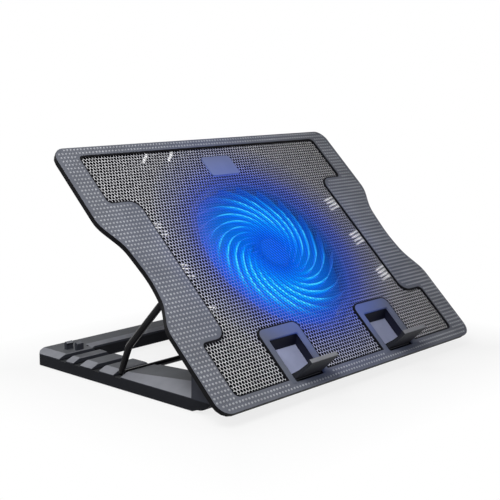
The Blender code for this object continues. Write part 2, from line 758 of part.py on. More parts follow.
def make_vents(shell):
    """Slanted air slots through the shell: three groups beside the neck on each side, and three at the rear."""
    vents = bpy.data.meshes.new("shell_vents")
    work = bmesh.new()

    def slot(x, y, slant, length, width):
        place = Matrix.Translation((x, y, -RIM_DEPTH)) @ Matrix.Rotation(slant, 4, "Z")
        bmesh.ops.create_cube(work, size=1, matrix=place @ Matrix.Diagonal((length, width, RIM_DEPTH, 1)))

    across = NECK_WIDTH / 2 - SIDE_VENT_INSIDE_NECK
    for sign in (-1, 1):
        for group in (-1, 0, 1):
            middle = SIDE_VENT_FROM_FRONT + group * SIDE_VENT_SPACING
            for index in range(SIDE_VENTS):
                y = middle + (index - (SIDE_VENTS - 1) / 2) * SIDE_VENT_PITCH
                slot(sign * across, y, sign * SIDE_VENT_SLANT, SIDE_VENT_LENGTH, SIDE_VENT_WIDTH)
    for x in (FIRST_REAR_VENT, SECOND_REAR_VENT, THIRD_REAR_VENT):
        slot(x, DECK_DEPTH - REAR_VENT_FROM_REAR, REAR_VENT_SLANT, REAR_VENT_LENGTH, REAR_VENT_WIDTH)
    work.to_mesh(vents)
    work.free()
    cut(shell, add_helper("shell_vents", vents, DECK))


def make_fan_housing():
    """Shallow cup under the shell that the fan stands in, with radial air slots through its floor."""
    inner = DRUM_INNER
    flange = DRUM_RADIUS + DRUM_FLANGE
    profile = [
        (0, -DRUM_INSIDE),
        (inner, -DRUM_INSIDE),
        (inner, -UNDERSIDE),
        (flange, -UNDERSIDE),
        (flange, -UNDERSIDE - DRUM_FLANGE_THICKNESS),
        (DRUM_RADIUS, -UNDERSIDE - DRUM_FLANGE_THICKNESS),
        (DRUM_RADIUS, -DRUM_DEPTH),
        (0, -DRUM_DEPTH),
    ]
    make_intake(turned("fan_housing", profile, SHELL_BLACK, FAN))


def make_hinge_brackets():
    """Lugs under the deck's front that turn on the hinge pins, each on a wider foot."""
    for side, sign in (("left", -1), ("right", 1)):
        middle = sign * (LUG_INNER + LUG_WIDTH / 2)
        mesh = side_slab("hinge_bracket", [lug_profile()], -LUG_WIDTH / 2, LUG_WIDTH / 2)
        bracket = add_part("hinge_bracket_" + side, mesh, SHELL_BLACK, DECK, (middle, 0, 0))
        front = HINGE_FROM_FRONT - LUG_ROOT_FRONT - LUG_FOOT_THICKNESS
        rear = HINGE_FROM_FRONT + LUG_ROOT_REAR + LUG_FOOT_THICKNESS
        low = (middle - LUG_FOOT_WIDTH / 2, front, -UNDERSIDE - LUG_FOOT_THICKNESS)
        high = (middle + LUG_FOOT_WIDTH / 2, rear, -UNDERSIDE)
        join(bracket, add_helper("hinge_foot", box("hinge_foot", low, high), DECK))
        bore = cylinder("lug_bore", HINGE_PIN_RADIUS + RUNNING_GAP, -LUG_WIDTH, LUG_WIDTH, axis="X")
        cut(bracket, add_helper("lug_bore", bore, DECK, (middle, HINGE_FROM_FRONT, -HINGE_BELOW)))


def make_intake(housing):
    """Radial air slots through the housing's floor."""
    slots = bpy.data.meshes.new("intake_slots")
    work = bmesh.new()
    for index in range(INTAKE_SLOTS):
        turn = Matrix.Rotation(2 * math.pi * (index + 0.5) / INTAKE_SLOTS, 4, "Z")
        middle = Matrix.Translation(((INTAKE_INNER + INTAKE_OUTER) / 2, 0, -DRUM_DEPTH + DRUM_FLOOR / 2))
        size = Matrix.Diagonal((INTAKE_OUTER - INTAKE_INNER, INTAKE_SLOT_WIDTH, 3 * DRUM_FLOOR, 1))
        bmesh.ops.create_cube(work, size=1, matrix=turn @ middle @ size)
    work.to_mesh(slots)
    work.free()
    cut(housing, add_helper("intake_slots", slots, FAN))


def socket_places():
    return [SOCKET_OFFSET - SOCKET_SPACING / 2, SOCKET_OFFSET + SOCKET_SPACING / 2]


def socket_room():
    """Half the width of the room that both sockets and their board share."""
    return (SOCKET_SPACING + SOCKET_WIDTH) / 2 + SEAT_GAP


def make_socket_housing():
    """Housing under the rear edge, open at the rear for each socket."""
    room = socket_room()
    rear = SOCKET_REAR
    outer = room + SOCKET_BOX_WALL
    low = (SOCKET_OFFSET - outer, rear - SOCKET_BOX_LENGTH, -SOCKET_BOX_BELOW)
    high = (SOCKET_OFFSET + outer, rear, -UNDERSIDE)
    housing = add_part("socket_housing", box("socket_housing", low, high), SHELL_BLACK, DECK)
    half = SOCKET_HEIGHT / 2 + SEAT_GAP
    board_room = box(
        "board_room",
        (SOCKET_OFFSET - room, rear - SOCKET_DEPTH - SOCKET_BOARD_DEPTH, -SOCKET_BELOW - half),
        (SOCKET_OFFSET + room, rear - SOCKET_DEPTH, -SOCKET_BELOW + half),
    )
    cut(housing, add_helper("board_room", board_room, DECK))
    for place in socket_places():
        side = SOCKET_WIDTH / 2 + SEAT_GAP
        well = box(
            "socket_well",
            (place - side, rear - SOCKET_DEPTH - SOCKET_BOX_WALL, -SOCKET_BELOW - half),
            (place + side, rear + SOCKET_BOX_WALL, -SOCKET_BELOW + half),
        )
        cut(housing, add_helper("socket_well", well, DECK))


def make_sockets():
    rear = SOCKET_REAR
    for side, place in zip(("left", "right"), socket_places()):
        wide = SOCKET_WIDTH / 2
        tall = SOCKET_HEIGHT / 2
        shape = box("usb_socket", (-wide, rear - SOCKET_DEPTH, -tall), (wide, rear, tall))
        socket = add_part("usb_socket_" + side, shape, STEEL, DECK, (place, 0, -SOCKET_BELOW))
        wide -= SOCKET_WALL
        tall -= SOCKET_WALL
        back = rear - SOCKET_DEPTH + SOCKET_WALL
        hollow = box("socket_hollow", (-wide, back, -tall), (wide, 2 * rear, tall))
        cut(socket, add_helper("socket_hollow", hollow, DECK, (place, 0, -SOCKET_BELOW)))
    room = socket_room() - SEAT_GAP
    low = -SOCKET_BELOW - SOCKET_HEIGHT / 2
    board = box(
        "usb_circuit_board",
        (SOCKET_OFFSET - room, rear - SOCKET_DEPTH - SOCKET_BOARD_DEPTH + SEAT_GAP, low),
        (SOCKET_OFFSET + room, rear - SOCKET_DEPTH - SEAT_GAP, low + BOARD_THICKNESS),
    )
    add_part("usb_circuit_board", board, BOARD_GREEN, DECK)


def make_screws():
    for index, (x, y) in enumerate(screw_places()):
        top = SCREW_HEAD_HEIGHT
        profile = [
            (0, RIM_DEPTH - SHELL_TOP - 2 * SEAT_GAP),
            (SCREW_SHANK_RADIUS, RIM_DEPTH - SHELL_TOP - 2 * SEAT_GAP),
            (SCREW_SHANK_RADIUS, top + SCREW_HEAD_HEIGHT - SEAT_GAP),
            (SCREW_HEAD_RADIUS, top + SCREW_HEAD_HEIGHT - SEAT_GAP),
            (SCREW_HEAD_RADIUS, top),
            (0, top),
        ]
        turned("screw_" + str(index + 1), profile, STEEL, DECK, (x, y, -RIM_DEPTH), TINY_ROUND_STEPS)


# Flip-up stops

def make_stop(side, sign):
    hinge = STOPS[side]
    middle = sign * STOP_OFFSET
    deep = TRAY_DEPTH + TRAY_WALL
    low = (middle - TRAY_HALF, TRAY_FRONT, -deep)
    high = (middle + TRAY_HALF, TRAY_REAR, -SHELL_TOP)
    tray = add_part("stop_tray_" + side, box("stop_tray", low, high), SHELL_BLACK, DECK)
    inner = TRAY_HALF - TRAY_WALL
    rear = TRAY_REAR - TRAY_WALL
    sides = [
        (TRAY_FRONT + TRAY_WALL, 0),
        (rear, 0),
        (rear, -SHELL_TOP),
        (rear - TRAY_RAMP, -TRAY_DEPTH),
        (TRAY_FRONT + TRAY_WALL, -TRAY_DEPTH),
    ]
    pocket = side_slab("tray_pocket", [sides], middle - inner, middle + inner)
    bore = cylinder("tray_bore", STOP_PIN_RADIUS + SEAT_GAP, -2 * TRAY_HALF, 2 * TRAY_HALF, axis="X")
    cut(tray, add_helper("tray_pocket", pocket, DECK), add_helper("tray_bore", bore, hinge))
    pin = cylinder("stop_pin", STOP_PIN_RADIUS, -TRAY_HALF, TRAY_HALF, axis="X")
    add_part("stop_pin_" + side, pin, STEEL, hinge)
    mesh = side_slab("stop_flap", [flap_outline()], -FLAP_WIDTH / 2, FLAP_WIDTH / 2)
    flap = add_part("stop_flap_" + side, mesh, BEZEL_GREY, hinge)
    barrel = cylinder("flap_barrel", FLAP_BARREL_RADIUS, -FLAP_WIDTH / 2, FLAP_WIDTH / 2, axis="X")
    join(flap, add_helper("flap_barrel", barrel, hinge))
    bore = cylinder("flap_bore", STOP_PIN_RADIUS + RUNNING_GAP, -FLAP_WIDTH, FLAP_WIDTH, axis="X")
    cut(flap, add_helper("flap_bore", bore, hinge))


# Fan

def make_fan_frame():
    ring = [
        (FAN_RING_OUTER, -FAN_RING_TOP),
        (FAN_RING_OUTER, -FAN_PLATE_BOTTOM),
        (FAN_RING_INNER, -FAN_PLATE_BOTTOM),
        (FAN_RING_INNER, -FAN_RING_TOP),
    ]
    frame = turned("fan_frame", ring, FAN_BLACK, FAN, closed=True)
    reach = FAN_RING_INNER + FAN_RING_WALL / 2
    for index in range(SPOKES // 2):
        turn = Matrix.Rotation(2 * math.pi * (index + 0.5) / SPOKES, 4, "Z")
        middle = Matrix.Translation((0, 0, -(FAN_PLATE_BOTTOM + FAN_PLATE_TOP) / 2))
        size = Matrix.Diagonal((2 * reach, SPOKE_WIDTH, FAN_PLATE_THICKNESS, 1))
        bar = bpy.data.meshes.new("fan_spoke_" + str(index + 1))
        piece = bmesh.new()
        bmesh.ops.create_cube(piece, size=1, matrix=turn @ middle @ size)
        piece.to_mesh(bar)
        piece.free()
        join(frame, add_helper(bar.name, bar, FAN))
    plate = cylinder("fan_plate", FAN_PLATE_RADIUS, -FAN_PLATE_BOTTOM, -FAN_PLATE_TOP, ROUND_STEPS)
    tube = cylinder("bearing_tube", BEARING_TUBE_RADIUS, -FAN_PLATE_BOTTOM, -BEARING_TUBE_TOP)
    join(frame, add_helper("fan_plate", plate, FAN), add_helper("bearing_tube", tube, FAN))
    bore = cylinder("tube_bore", TUBE_BORE, -FAN_PLATE_TOP, 0)
    cut(frame, add_helper("tube_bore", bore, FAN))
    for index in range(LED_COUNT):
        window = cylinder("led_hole", LED_RADIUS + SEAT_GAP, -FAN_RING_WALL, FAN_RING_WALL, axis="X")
        helper = add_helper("led_hole", window, FAN, led_place(index, reach), led_turn(index))
        cut(frame, helper)


def led_turn(index):
    return 2 * math.pi * index / LED_COUNT


def led_place(index, radius):
    turn = led_turn(index)
    return radius * math.cos(turn), radius * math.sin(turn), -LED_BELOW


def make_leds():
    for index in range(LED_COUNT):
        mesh = cylinder("led", LED_RADIUS, 0, LED_LENGTH, axis="X")
        place = led_place(index, FAN_RING_INNER + 2 * SEAT_GAP)
        led = add_part("led_" + str(index + 1), mesh, LED_BLUE, FAN, place)
        led.rotation_euler = (0, 0, led_turn(index))


def blade_angle(radius):
    """Sweep of a blade: nearly radial at the hub, then spiralling outwards."""
    return BLADE_SWEEP / 2 * math.log(1 + (radius / BLADE_SWEEP_RADIUS) ** 2)


def make_blades():
    """Every blade as a thin leaning sheet rooted in the hub's wall."""
    stations = 7
    root = HUB_RADIUS - HUB_WALL / 2
    mesh = bpy.data.meshes.new("fan_blades")
    work = bmesh.new()
    for index in range(BLADES):
        start = 2 * math.pi * index / BLADES
        last = None
        for station in range(stations):
            radius = root + (BLADE_TIP_RADIUS - root) * station / (stations - 1)
            upper = start + blade_angle(radius)
            lower = upper - BLADE_LEAN / radius
            low = -(BLADE_TOP + BLADE_HEIGHT)
            edge = (
                work.verts.new((radius * math.cos(upper), radius * math.sin(upper), -BLADE_TOP)),
                work.verts.new((radius * math.cos(lower), radius * math.sin(lower), low)),
            )
            if last:
                work.faces.new((last[0], last[1], edge[1], edge[0]))
            last = edge
    work.to_mesh(mesh)
    work.free()
    blades = add_helper("fan_blades", mesh, FAN, (0, 0, -ROTOR_TOP))
    sheet = blades.modifiers.new("thickness", "SOLIDIFY")
    sheet.thickness = BLADE_THICKNESS
    sheet.offset = 0
    return blades


def make_rotor():
    boss = HUB_CROWN + HUB_BOSS_DEPTH
    shaft_hole = SHAFT_RADIUS + SEAT_GAP
    profile = [
        (0, 0),
        (HUB_RADIUS - HUB_EDGE, 0),
        (HUB_RADIUS, -HUB_EDGE),
        (HUB_RADIUS, -HUB_HEIGHT),
        (HUB_INNER, -HUB_HEIGHT),
        (HUB_INNER, -HUB_CROWN),
        (HUB_BOSS_RADIUS, -HUB_CROWN),
        (HUB_BOSS_RADIUS, -boss),
        (shaft_hole, -boss),
        (shaft_hole, -HUB_CROWN),
        (0, -HUB_CROWN),
    ]
    rotor = turned("fan_rotor", profile, ROTOR_BLUE, FAN, (0, 0, -ROTOR_TOP))
    join(rotor, make_blades())
    shaft_top = ROTOR_TOP + HUB_CROWN + SEAT_GAP
    shaft = cylinder("rotor_shaft", SHAFT_RADIUS, -FAN_PLATE_TOP + RUNNING_GAP, -shaft_top)
    add_part("rotor_shaft", shaft, STEEL, FAN)
    magnet = [
        (MAGNET_OUTER, -ROTOR_TOP - HUB_CROWN - SEAT_GAP),
        (MAGNET_OUTER, -HUB_BOTTOM + SEAT_GAP),
        (MAGNET_OUTER - MAGNET_WALL, -HUB_BOTTOM + SEAT_GAP),
        (MAGNET_OUTER - MAGNET_WALL, -ROTOR_TOP - HUB_CROWN - SEAT_GAP),
    ]
    turned("magnet_ring", magnet, IRON, FAN, steps=2 * TINY_ROUND_STEPS, closed=True)


def make_motor():
    """The fixed half of the motor: circuit board, stator and sleeve bearing."""
    inner = BEARING_TUBE_RADIUS + SEAT_GAP
    board_bottom = FAN_PLATE_TOP - SEAT_GAP
    board = [
        (STATOR_RADIUS, -BOARD_TOP),
        (STATOR_RADIUS, -board_bottom),
        (inner, -board_bottom),
        (inner, -BOARD_TOP),
    ]
    turned("fan_circuit_board", board, BOARD_GREEN, FAN, steps=2 * TINY_ROUND_STEPS, closed=True)
    core = [
        (STATOR_RADIUS, -STATOR_BOTTOM + STATOR_HEIGHT),
        (STATOR_RADIUS, -STATOR_BOTTOM),
        (inner, -STATOR_BOTTOM),
        (inner, -STATOR_BOTTOM + STATOR_HEIGHT),
    ]
    stator = turned("stator_core", core, IRON, FAN, steps=2 * STATOR_SLOTS, closed=True)
    slots = bpy.data.meshes.new("stator_slots")
    work = bmesh.new()
    yoke = (inner + STATOR_RADIUS) / 2
    for index in range(STATOR_SLOTS):
        turn = Matrix.Rotation(2 * math.pi * (index + 0.25) / STATOR_SLOTS, 4, "Z")
        middle = Matrix.Translation((yoke + STATOR_RADIUS / 2, 0, -STATOR_BOTTOM + STATOR_HEIGHT / 2))
        size = Matrix.Diagonal((STATOR_RADIUS, STATOR_SLOT_WIDTH, 2 * STATOR_HEIGHT, 1))
        bmesh.ops.create_cube(work, size=1, matrix=turn @ middle @ size)
    work.to_mesh(slots)
    work.free()
    cut(stator, add_helper("stator_slots", slots, FAN))
    outer = TUBE_BORE - SEAT_GAP
    sleeve = [
        (outer, -BEARING_TUBE_TOP),
        (outer, -FAN_PLATE_TOP + SEAT_GAP),
        (outer - BEARING_WALL, -FAN_PLATE_TOP + SEAT_GAP),
        (outer - BEARING_WALL, -BEARING_TUBE_TOP),
    ]
    turned("bearing_sleeve", sleeve, BRONZE, FAN, steps=SMALL_ROUND_STEPS, closed=True)


# Base

def base_plan():
    """The open frame of rails and rear bar, in plan from the hinge axis back."""
    half = [
        (RAIL_INNER, KNUCKLE_REAR, 0),
        (BASE_HALF, KNUCKLE_REAR, 0),
        (BASE_HALF, BASE_REAR - BASE_REAR_CUT, BASE_REAR_CORNER),
        (BASE_HALF - BASE_REAR_CUT, BASE_REAR, BASE_REAR_CORNER),
    ]
    corner = FRAME_INNER_CORNER
    inner = [(-RAIL_INNER, REAR_BAR_FRONT, corner), (RAIL_INNER, REAR_BAR_FRONT, corner)]
    left = [(-x, y, radius) for x, y, radius in reversed(half)]
    return rounded(half + left + inner, 3)


def knuckle_profile():
    """Side view of a hinge knuckle: round in front and raised off the table, upright behind the axis."""
    rear = math.asin(KNUCKLE_REAR / KNUCKLE_RADIUS)
    steps = 5 * ARC_STEPS
    arc = [math.pi / 2 - rear + (math.pi + rear) * step / steps for step in range(steps + 1)]
    points = []
    for turn in arc:
        tall = KNUCKLE_RADIUS - KNUCKLE_RISE if turn > math.pi else KNUCKLE_RADIUS
        points.append((KNUCKLE_RADIUS * math.cos(turn), HINGE_HEIGHT + tall * math.sin(turn)))
    overlap = KNUCKLE_REAR + NOTCH_WIDTH / 2
    return points + [
        (KNUCKLE_REAR - KNUCKLE_RISE / 2, BASE_BOTTOM),
        (overlap, BASE_BOTTOM),
        (overlap, RAIL_SIDE_HEIGHT),
        (KNUCKLE_REAR, RAIL_SIDE_HEIGHT),
    ]


def notch_profile(middle):
    half = NOTCH_WIDTH / 2
    above = RAIL_FRONT_TOP + RAIL_TOP
    lip = RAIL_TOP - NOTCH_LEAD_IN
    return [
        (middle - half, NOTCH_FLOOR),
        (middle + half, NOTCH_FLOOR),
        (middle + half, lip),
        (middle + half + NOTCH_LEAD_IN, RAIL_TOP),
        (middle + half + NOTCH_LEAD_IN, above),
        (middle - half - NOTCH_LEAD_IN, above),
        (middle - half - NOTCH_LEAD_IN, RAIL_TOP),
        (middle - half, lip),
    ]


def prong_profile(edge, sign):
    """A snap prong whose hook reaches from the given edge over the folded prop rod."""
    outer = edge + sign * PRONG_THICKNESS
    top = RAIL_TOP + PRONG_HEIGHT
    hook = edge - sign * PRONG_HOOK
    points = [
        (outer, RAIL_SIDE_HEIGHT),
        (outer, top - PRONG_THICKNESS / 2),
        (outer - sign * PRONG_THICKNESS / 2, top),
        (hook, top - PRONG_THICKNESS / 2),
        (edge, top - PRONG_THICKNESS),
        (edge, RAIL_SIDE_HEIGHT),
    ]
    return points if sign < 0 else points[::-1]


def wedge(name, points, front, rear):
    """A prism that runs back along a rail, from its section as (across, up) points."""
    mesh = slab(name, [points], front, rear)
    mesh.transform(Matrix(((1, 0, 0, 0), (0, 0, 1, 0), (0, 1, 0, 0), (0, 0, 0, 1))))
    mesh.flip_normals()
    return mesh


def make_base_frame():
    tall = RAIL_FRONT_TOP + RAIL_TOP
    blank = slab("base_frame", [base_plan()], BASE_BOTTOM, RAIL_FRONT_TOP)
    frame = add_part("base_frame", blank, BASE_GREY, BASE)
    first_notch = NOTCHES_FROM_HINGE[0] - NOTCH_WIDTH
    above = [
        (-tall, RAIL_FRONT_TOP),
        (KNUCKLE_REAR, RAIL_FRONT_TOP),
        (first_notch, RAIL_TOP),
        (2 * BASE_REAR, RAIL_TOP),
        (2 * BASE_REAR, tall),
        (-tall, tall),
    ]
    cut(frame, add_helper("rail_top", side_slab("rail_top", [above], -BASE_WIDTH, BASE_WIDTH), BASE))
    slope = (RAIL_TOP - RAIL_SIDE_HEIGHT) / RAIL_CHAMFER
    outside = BASE_HALF + RAIL_CHAMFER
    inside = BASE_HALF - RAIL_WIDTH
    for sign in (-1, 1):
        section = [
            (sign * outside, RAIL_SIDE_HEIGHT - slope * RAIL_CHAMFER),
            (sign * outside, 2 * tall),
            (sign * inside, 2 * tall),
            (sign * inside, RAIL_SIDE_HEIGHT + slope * RAIL_WIDTH),
        ]
        chamfer = wedge("rail_chamfer", section, -BASE_REAR, 2 * BASE_REAR)
        cut(frame, add_helper("rail_chamfer", chamfer, BASE))
        edge = RAIL_INNER + RAIL_INNER_CHAMFER
        deep = 2 * RAIL_INNER_CHAMFER
        section = [
            (sign * edge, RAIL_TOP),
            (sign * edge, tall),
            (sign * (edge - deep), tall),
            (sign * (edge - deep), RAIL_TOP - deep),
        ]
        rear = REAR_BAR_FRONT
        cut(frame, add_helper("rail_inner_edge", wedge("rail_inner_edge", section, first_notch, rear), BASE))
    bar_edge = REAR_BAR_FRONT + REAR_BAR_CHAMFER
    section = [
        (bar_edge, RAIL_TOP),
        (bar_edge, tall),
        (bar_edge - 2 * REAR_BAR_CHAMFER, tall),
        (bar_edge - 2 * REAR_BAR_CHAMFER, RAIL_TOP - REAR_BAR_CHAMFER),
    ]
    cut(frame, add_helper("bar_edge", side_slab("bar_edge", [section], -RAIL_INNER, RAIL_INNER), BASE))
    for index, middle in enumerate(NOTCHES_FROM_HINGE):
        notch = side_slab("notch", [notch_profile(middle)], -BASE_WIDTH, BASE_WIDTH)
        cut(frame, add_helper("notch_" + str(index + 1), notch, BASE))
    make_knuckles(frame)
    make_prongs(frame)
    make_cells(frame)
    for name, x, y in foot_places():
        seat = cylinder("foot_seat", FOOT_RADIUS + SEAT_GAP, 0, FOOT_HEIGHT + SEAT_GAP)
        cut(frame, add_helper("foot_seat_" + name, seat, BASE, (x, y, 0)))


def make_knuckles(frame):
    for sign in (-1, 1):
        left = min(sign * KNUCKLE_INNER, sign * BASE_HALF)
        knuckle = side_slab("knuckle", [knuckle_profile()], left, left + BASE_HALF - KNUCKLE_INNER)
        join(frame, add_helper("knuckle", knuckle, BASE))
        near = min(sign * (LUG_INNER - RUNNING_GAP), sign * (LUG_INNER + LUG_WIDTH + RUNNING_GAP))
        far = near + LUG_WIDTH + 2 * RUNNING_GAP
        top = HINGE_HEIGHT + 2 * KNUCKLE_RADIUS
        floor = HINGE_HEIGHT - LUG_RADIUS - 2 * RUNNING_GAP
        notch = box("lug_notch", (near, -2 * KNUCKLE_RADIUS, floor), (far, LUG_NOTCH_REAR, top))
        cut(frame, add_helper("lug_notch", notch, BASE))
    half = FRONT_BAR_DEPTH / 2
    reach = (KNUCKLE_INNER + LUG_INNER) / 2
    bar = box("front_bar", (-reach, -half, BASE_BOTTOM + KNUCKLE_RISE), (reach, half, FRONT_BAR_TOP))
    join(frame, add_helper("front_bar", bar, BASE))
    for sign in (-1, 1):
        ends = sorted((sign * (KNUCKLE_INNER - HINGE_PIN_CAP), sign * (BASE_HALF - HINGE_PIN_CAP)))
        bore = cylinder("pin_bore", HINGE_PIN_RADIUS + RUNNING_GAP, ends[0], ends[1], axis="X")
        cut(frame, add_helper("pin_bore", bore, BASE, (0, 0, HINGE_HEIGHT)))


def make_prongs(frame):
    """Two staggered prongs on each rail behind the last notch, which hold the rod of the folded prop."""
    half = PROP_ROD_RADIUS + RUNNING_GAP
    middle = NOTCHES_FROM_HINGE[-1] + NOTCH_WIDTH / 2 + NOTCH_LEAD_IN + PRONG_BEHIND_NOTCH
    for sign in (-1, 1):
        for side in (-1, 1):
            across = sign * (BASE_HALF - PRONG_FROM_SIDE + side * PRONG_STAGGER / 2)
            left = across - PRONG_WIDTH / 2
            prong = side_slab("prong", [prong_profile(middle + side * half, side)], left, left + PRONG_WIDTH)
            join(frame, add_helper("prong", prong, BASE))


def make_cells(frame):
    """Hollow cells open at the underside of both rails and the rear bar, with ribs left between them."""
    cells = bpy.data.meshes.new("rail_cells")
    work = bmesh.new()
    front = FOOT_INSET + FOOT_RADIUS + 2 * CELL_WALL
    rear = REAR_BAR_FRONT - CELL_WALL
    count = int((rear - front) // (CELL_DEPTH + CELL_WALL))
    step = (rear - front) / count

    def cell(low, high):
        low, high = Vector(low), Vector(high)
        place = Matrix.Translation((low + high) / 2) @ Matrix.Diagonal((*(high - low), 1))
        bmesh.ops.create_cube(work, size=1, matrix=place)

    for sign in (-1, 1):
        near = min(sign * (RAIL_INNER + CELL_WALL), sign * (BASE_HALF - CELL_WALL))
        for index in range(count):
            start = front + index * step
            wide = RAIL_WIDTH - 2 * CELL_WALL
            cell((near, start, -CELL_TOP), (near + wide, start + step - CELL_WALL, CELL_TOP))
    bar = BASE_WIDTH - 2 * RAIL_WIDTH
    bar_cells = int(bar // (2 * CELL_DEPTH))
    bar_step = bar / bar_cells
    for index in range(bar_cells):
        start = -bar / 2 + index * bar_step
        cell(
            (start + CELL_WALL / 2, REAR_BAR_FRONT + CELL_WALL, -CELL_TOP),
            (start + bar_step - CELL_WALL / 2, BASE_REAR - CELL_WALL, CELL_TOP),
        )
    work.to_mesh(cells)
    work.free()
    cut(frame, add_helper("rail_cells", cells, BASE))


def foot_places():
    across = BASE_HALF - RAIL_WIDTH / 2
    places = []
    for end, y in (("front", FOOT_INSET), ("rear", BASE_REAR - FOOT_INSET + CELL_WALL)):
        for side, sign in (("left", -1), ("right", 1)):
            places.append((end + "_" + side, sign * across, y))
    return places


def make_feet():
    for name, x, y in foot_places():
        profile = [
            (0, FOOT_HEIGHT),
            (FOOT_RADIUS, FOOT_HEIGHT),
            (FOOT_RADIUS, FOOT_PROUD / 2),
            (FOOT_RADIUS - FOOT_PROUD / 2, 0),
            (0, 0),
        ]
        turned("rubber_foot_" + name, profile, RUBBER, BASE, (x, y, 0), 2 * TINY_ROUND_STEPS)


def make_hinge_pins():
    for side, sign in (("left", -1), ("right", 1)):
        ends = sorted((sign * KNUCKLE_INNER, sign * (BASE_HALF - HINGE_PIN_CAP - RUNNING_GAP)))
        pin = cylinder("hinge_pin", HINGE_PIN_RADIUS, ends[0], ends[1], axis="X")
        add_part("hinge_pin_" + side, pin, STEEL, BASE, (0, 0, HINGE_HEIGHT))


# Wire prop

def bent(points, radii, steps=4):
    """A polyline through 3-D points with each inner corner rounded to its own bend radius."""
    path = [Vector(points[0])]
    for index in range(1, len(points) - 1):
        corner = Vector(points[index])
        to_last = (Vector(points[index - 1]) - corner).normalized()
        to_next = (Vector(points[index + 1]) - corner).normalized()
        half = to_last.angle(to_next) / 2
        bisector = (to_last + to_next).normalized()
        centre = corner + bisector * (radii[index - 1] / math.sin(half))
        first = corner + to_last * (radii[index - 1] / math.tan(half)) - centre
        last = corner + to_next * (radii[index - 1] / math.tan(half)) - centre
        turn = first.angle(last)
        across = (last - first * math.cos(turn)) / math.sin(turn)
        for step in range(steps + 1):
            angle = turn * step / steps
            path.append(centre + first * math.cos(angle) + across * math.sin(angle))
    path.append(Vector(points[-1]))
    return path


def make_prop():
    """One wire: pivot pin, kinked arm, cross rod in the front notch, and the other arm back up."""
    foot = Vector((0, NOTCHES_FROM_HINGE[0] - PROP_SEAT_FORWARD, NOTCH_FLOOR + PROP_ROD_RADIUS + SEAT_GAP))
    foot -= Vector((0, PROP_BACK, PROP_UP))
    along = foot.normalized()
    aside = Vector((0, -along.z, along.y))
    kink = along * PROP_KINK_ALONG + aside * PROP_KINK_OFFSET
    arm = Vector((PROP_ARM_SPAN / 2, 0, 0))
    inward = Vector((PROP_PIN_LENGTH, 0, 0))
    points = [inward - arm, -arm, kink - arm, foot - arm, foot + arm, kink + arm, arm, arm - inward]
    bends = [PROP_BEND, PROP_KINK_BEND, PROP_BEND, PROP_BEND, PROP_KINK_BEND, PROP_BEND]
    path = bent(points, bends)
    curve = bpy.data.curves.new("prop_bar", "CURVE")
    curve.dimensions = "3D"
    curve.bevel_depth = PROP_ARM_RADIUS
    curve.bevel_resolution = 3
    curve.use_fill_caps = True
    spline = curve.splines.new("POLY")
    spline.points.add(len(path) - 1)
    thin = PROP_ROD_RADIUS / PROP_ARM_RADIUS
    for point, place in zip(spline.points, path):
        point.co = (*place, 1)
        on_pin = abs(place.x) < PROP_ARM_SPAN / 2 - PROP_BEND / 2 or place.z < foot.z + 2 * PROP_BEND
        point.radius = thin if on_pin else 1.0
    mesh = mesh_of_curve(curve, Matrix.Identity(4))
    add_part("prop_bar", mesh, PROP_BLACK, PROP, smooth=math.radians(50))


def make_brackets():
    """Blocks under the deck's waist that hold the prop's pivot pins."""
    half = BRACKET_LENGTH / 2
    arc = [math.pi + math.pi * step / (2 * ARC_STEPS) for step in range(2 * ARC_STEPS + 1)]
    profile = [(half, PROP_PIVOT_BELOW - UNDERSIDE), (-half, PROP_PIVOT_BELOW - UNDERSIDE)]
    profile += [(BRACKET_RADIUS * math.cos(turn), BRACKET_RADIUS * math.sin(turn)) for turn in arc]
    hole = ring_points(PROP_ROD_RADIUS + RUNNING_GAP, SMALL_ROUND_STEPS)
    outer = PROP_ARM_SPAN / 2 - PROP_ARM_RADIUS - BRACKET_GAP
    for side, sign in (("left", -1), ("right", 1)):
        left = min(sign * outer, sign * (outer - BRACKET_WIDTH))
        mesh = side_slab("prop_bracket", [profile, hole], left, left + BRACKET_WIDTH)
        place = (0, PROP_PIVOT_FROM_FRONT, -PROP_PIVOT_BELOW)
        add_part("prop_bracket_" + side, mesh, SHELL_BLACK, DECK, place)


def main():
    make_base_frame()
    make_feet()
    make_hinge_pins()
    make_bezel()
    make_mesh_panel()
    make_name_plate()
    make_bottom_shell()
    make_fan_housing()
    make_hinge_brackets()
    make_socket_housing()
    make_screws()
    make_sockets()
    for side, sign in (("left", -1), ("right", 1)):
        make_stop(side, sign)
    make_fan_frame()
    make_leds()
    make_rotor()
    make_motor()
    make_prop()
    make_brackets()


main()
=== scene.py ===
"""Looks of the laptop cooling pad: perforated sheet, dotted bezel, lit fan, finishes and studio."""

import json
import math

import bmesh
import bpy
import numpy as np
from mathutils import Matrix, Vector


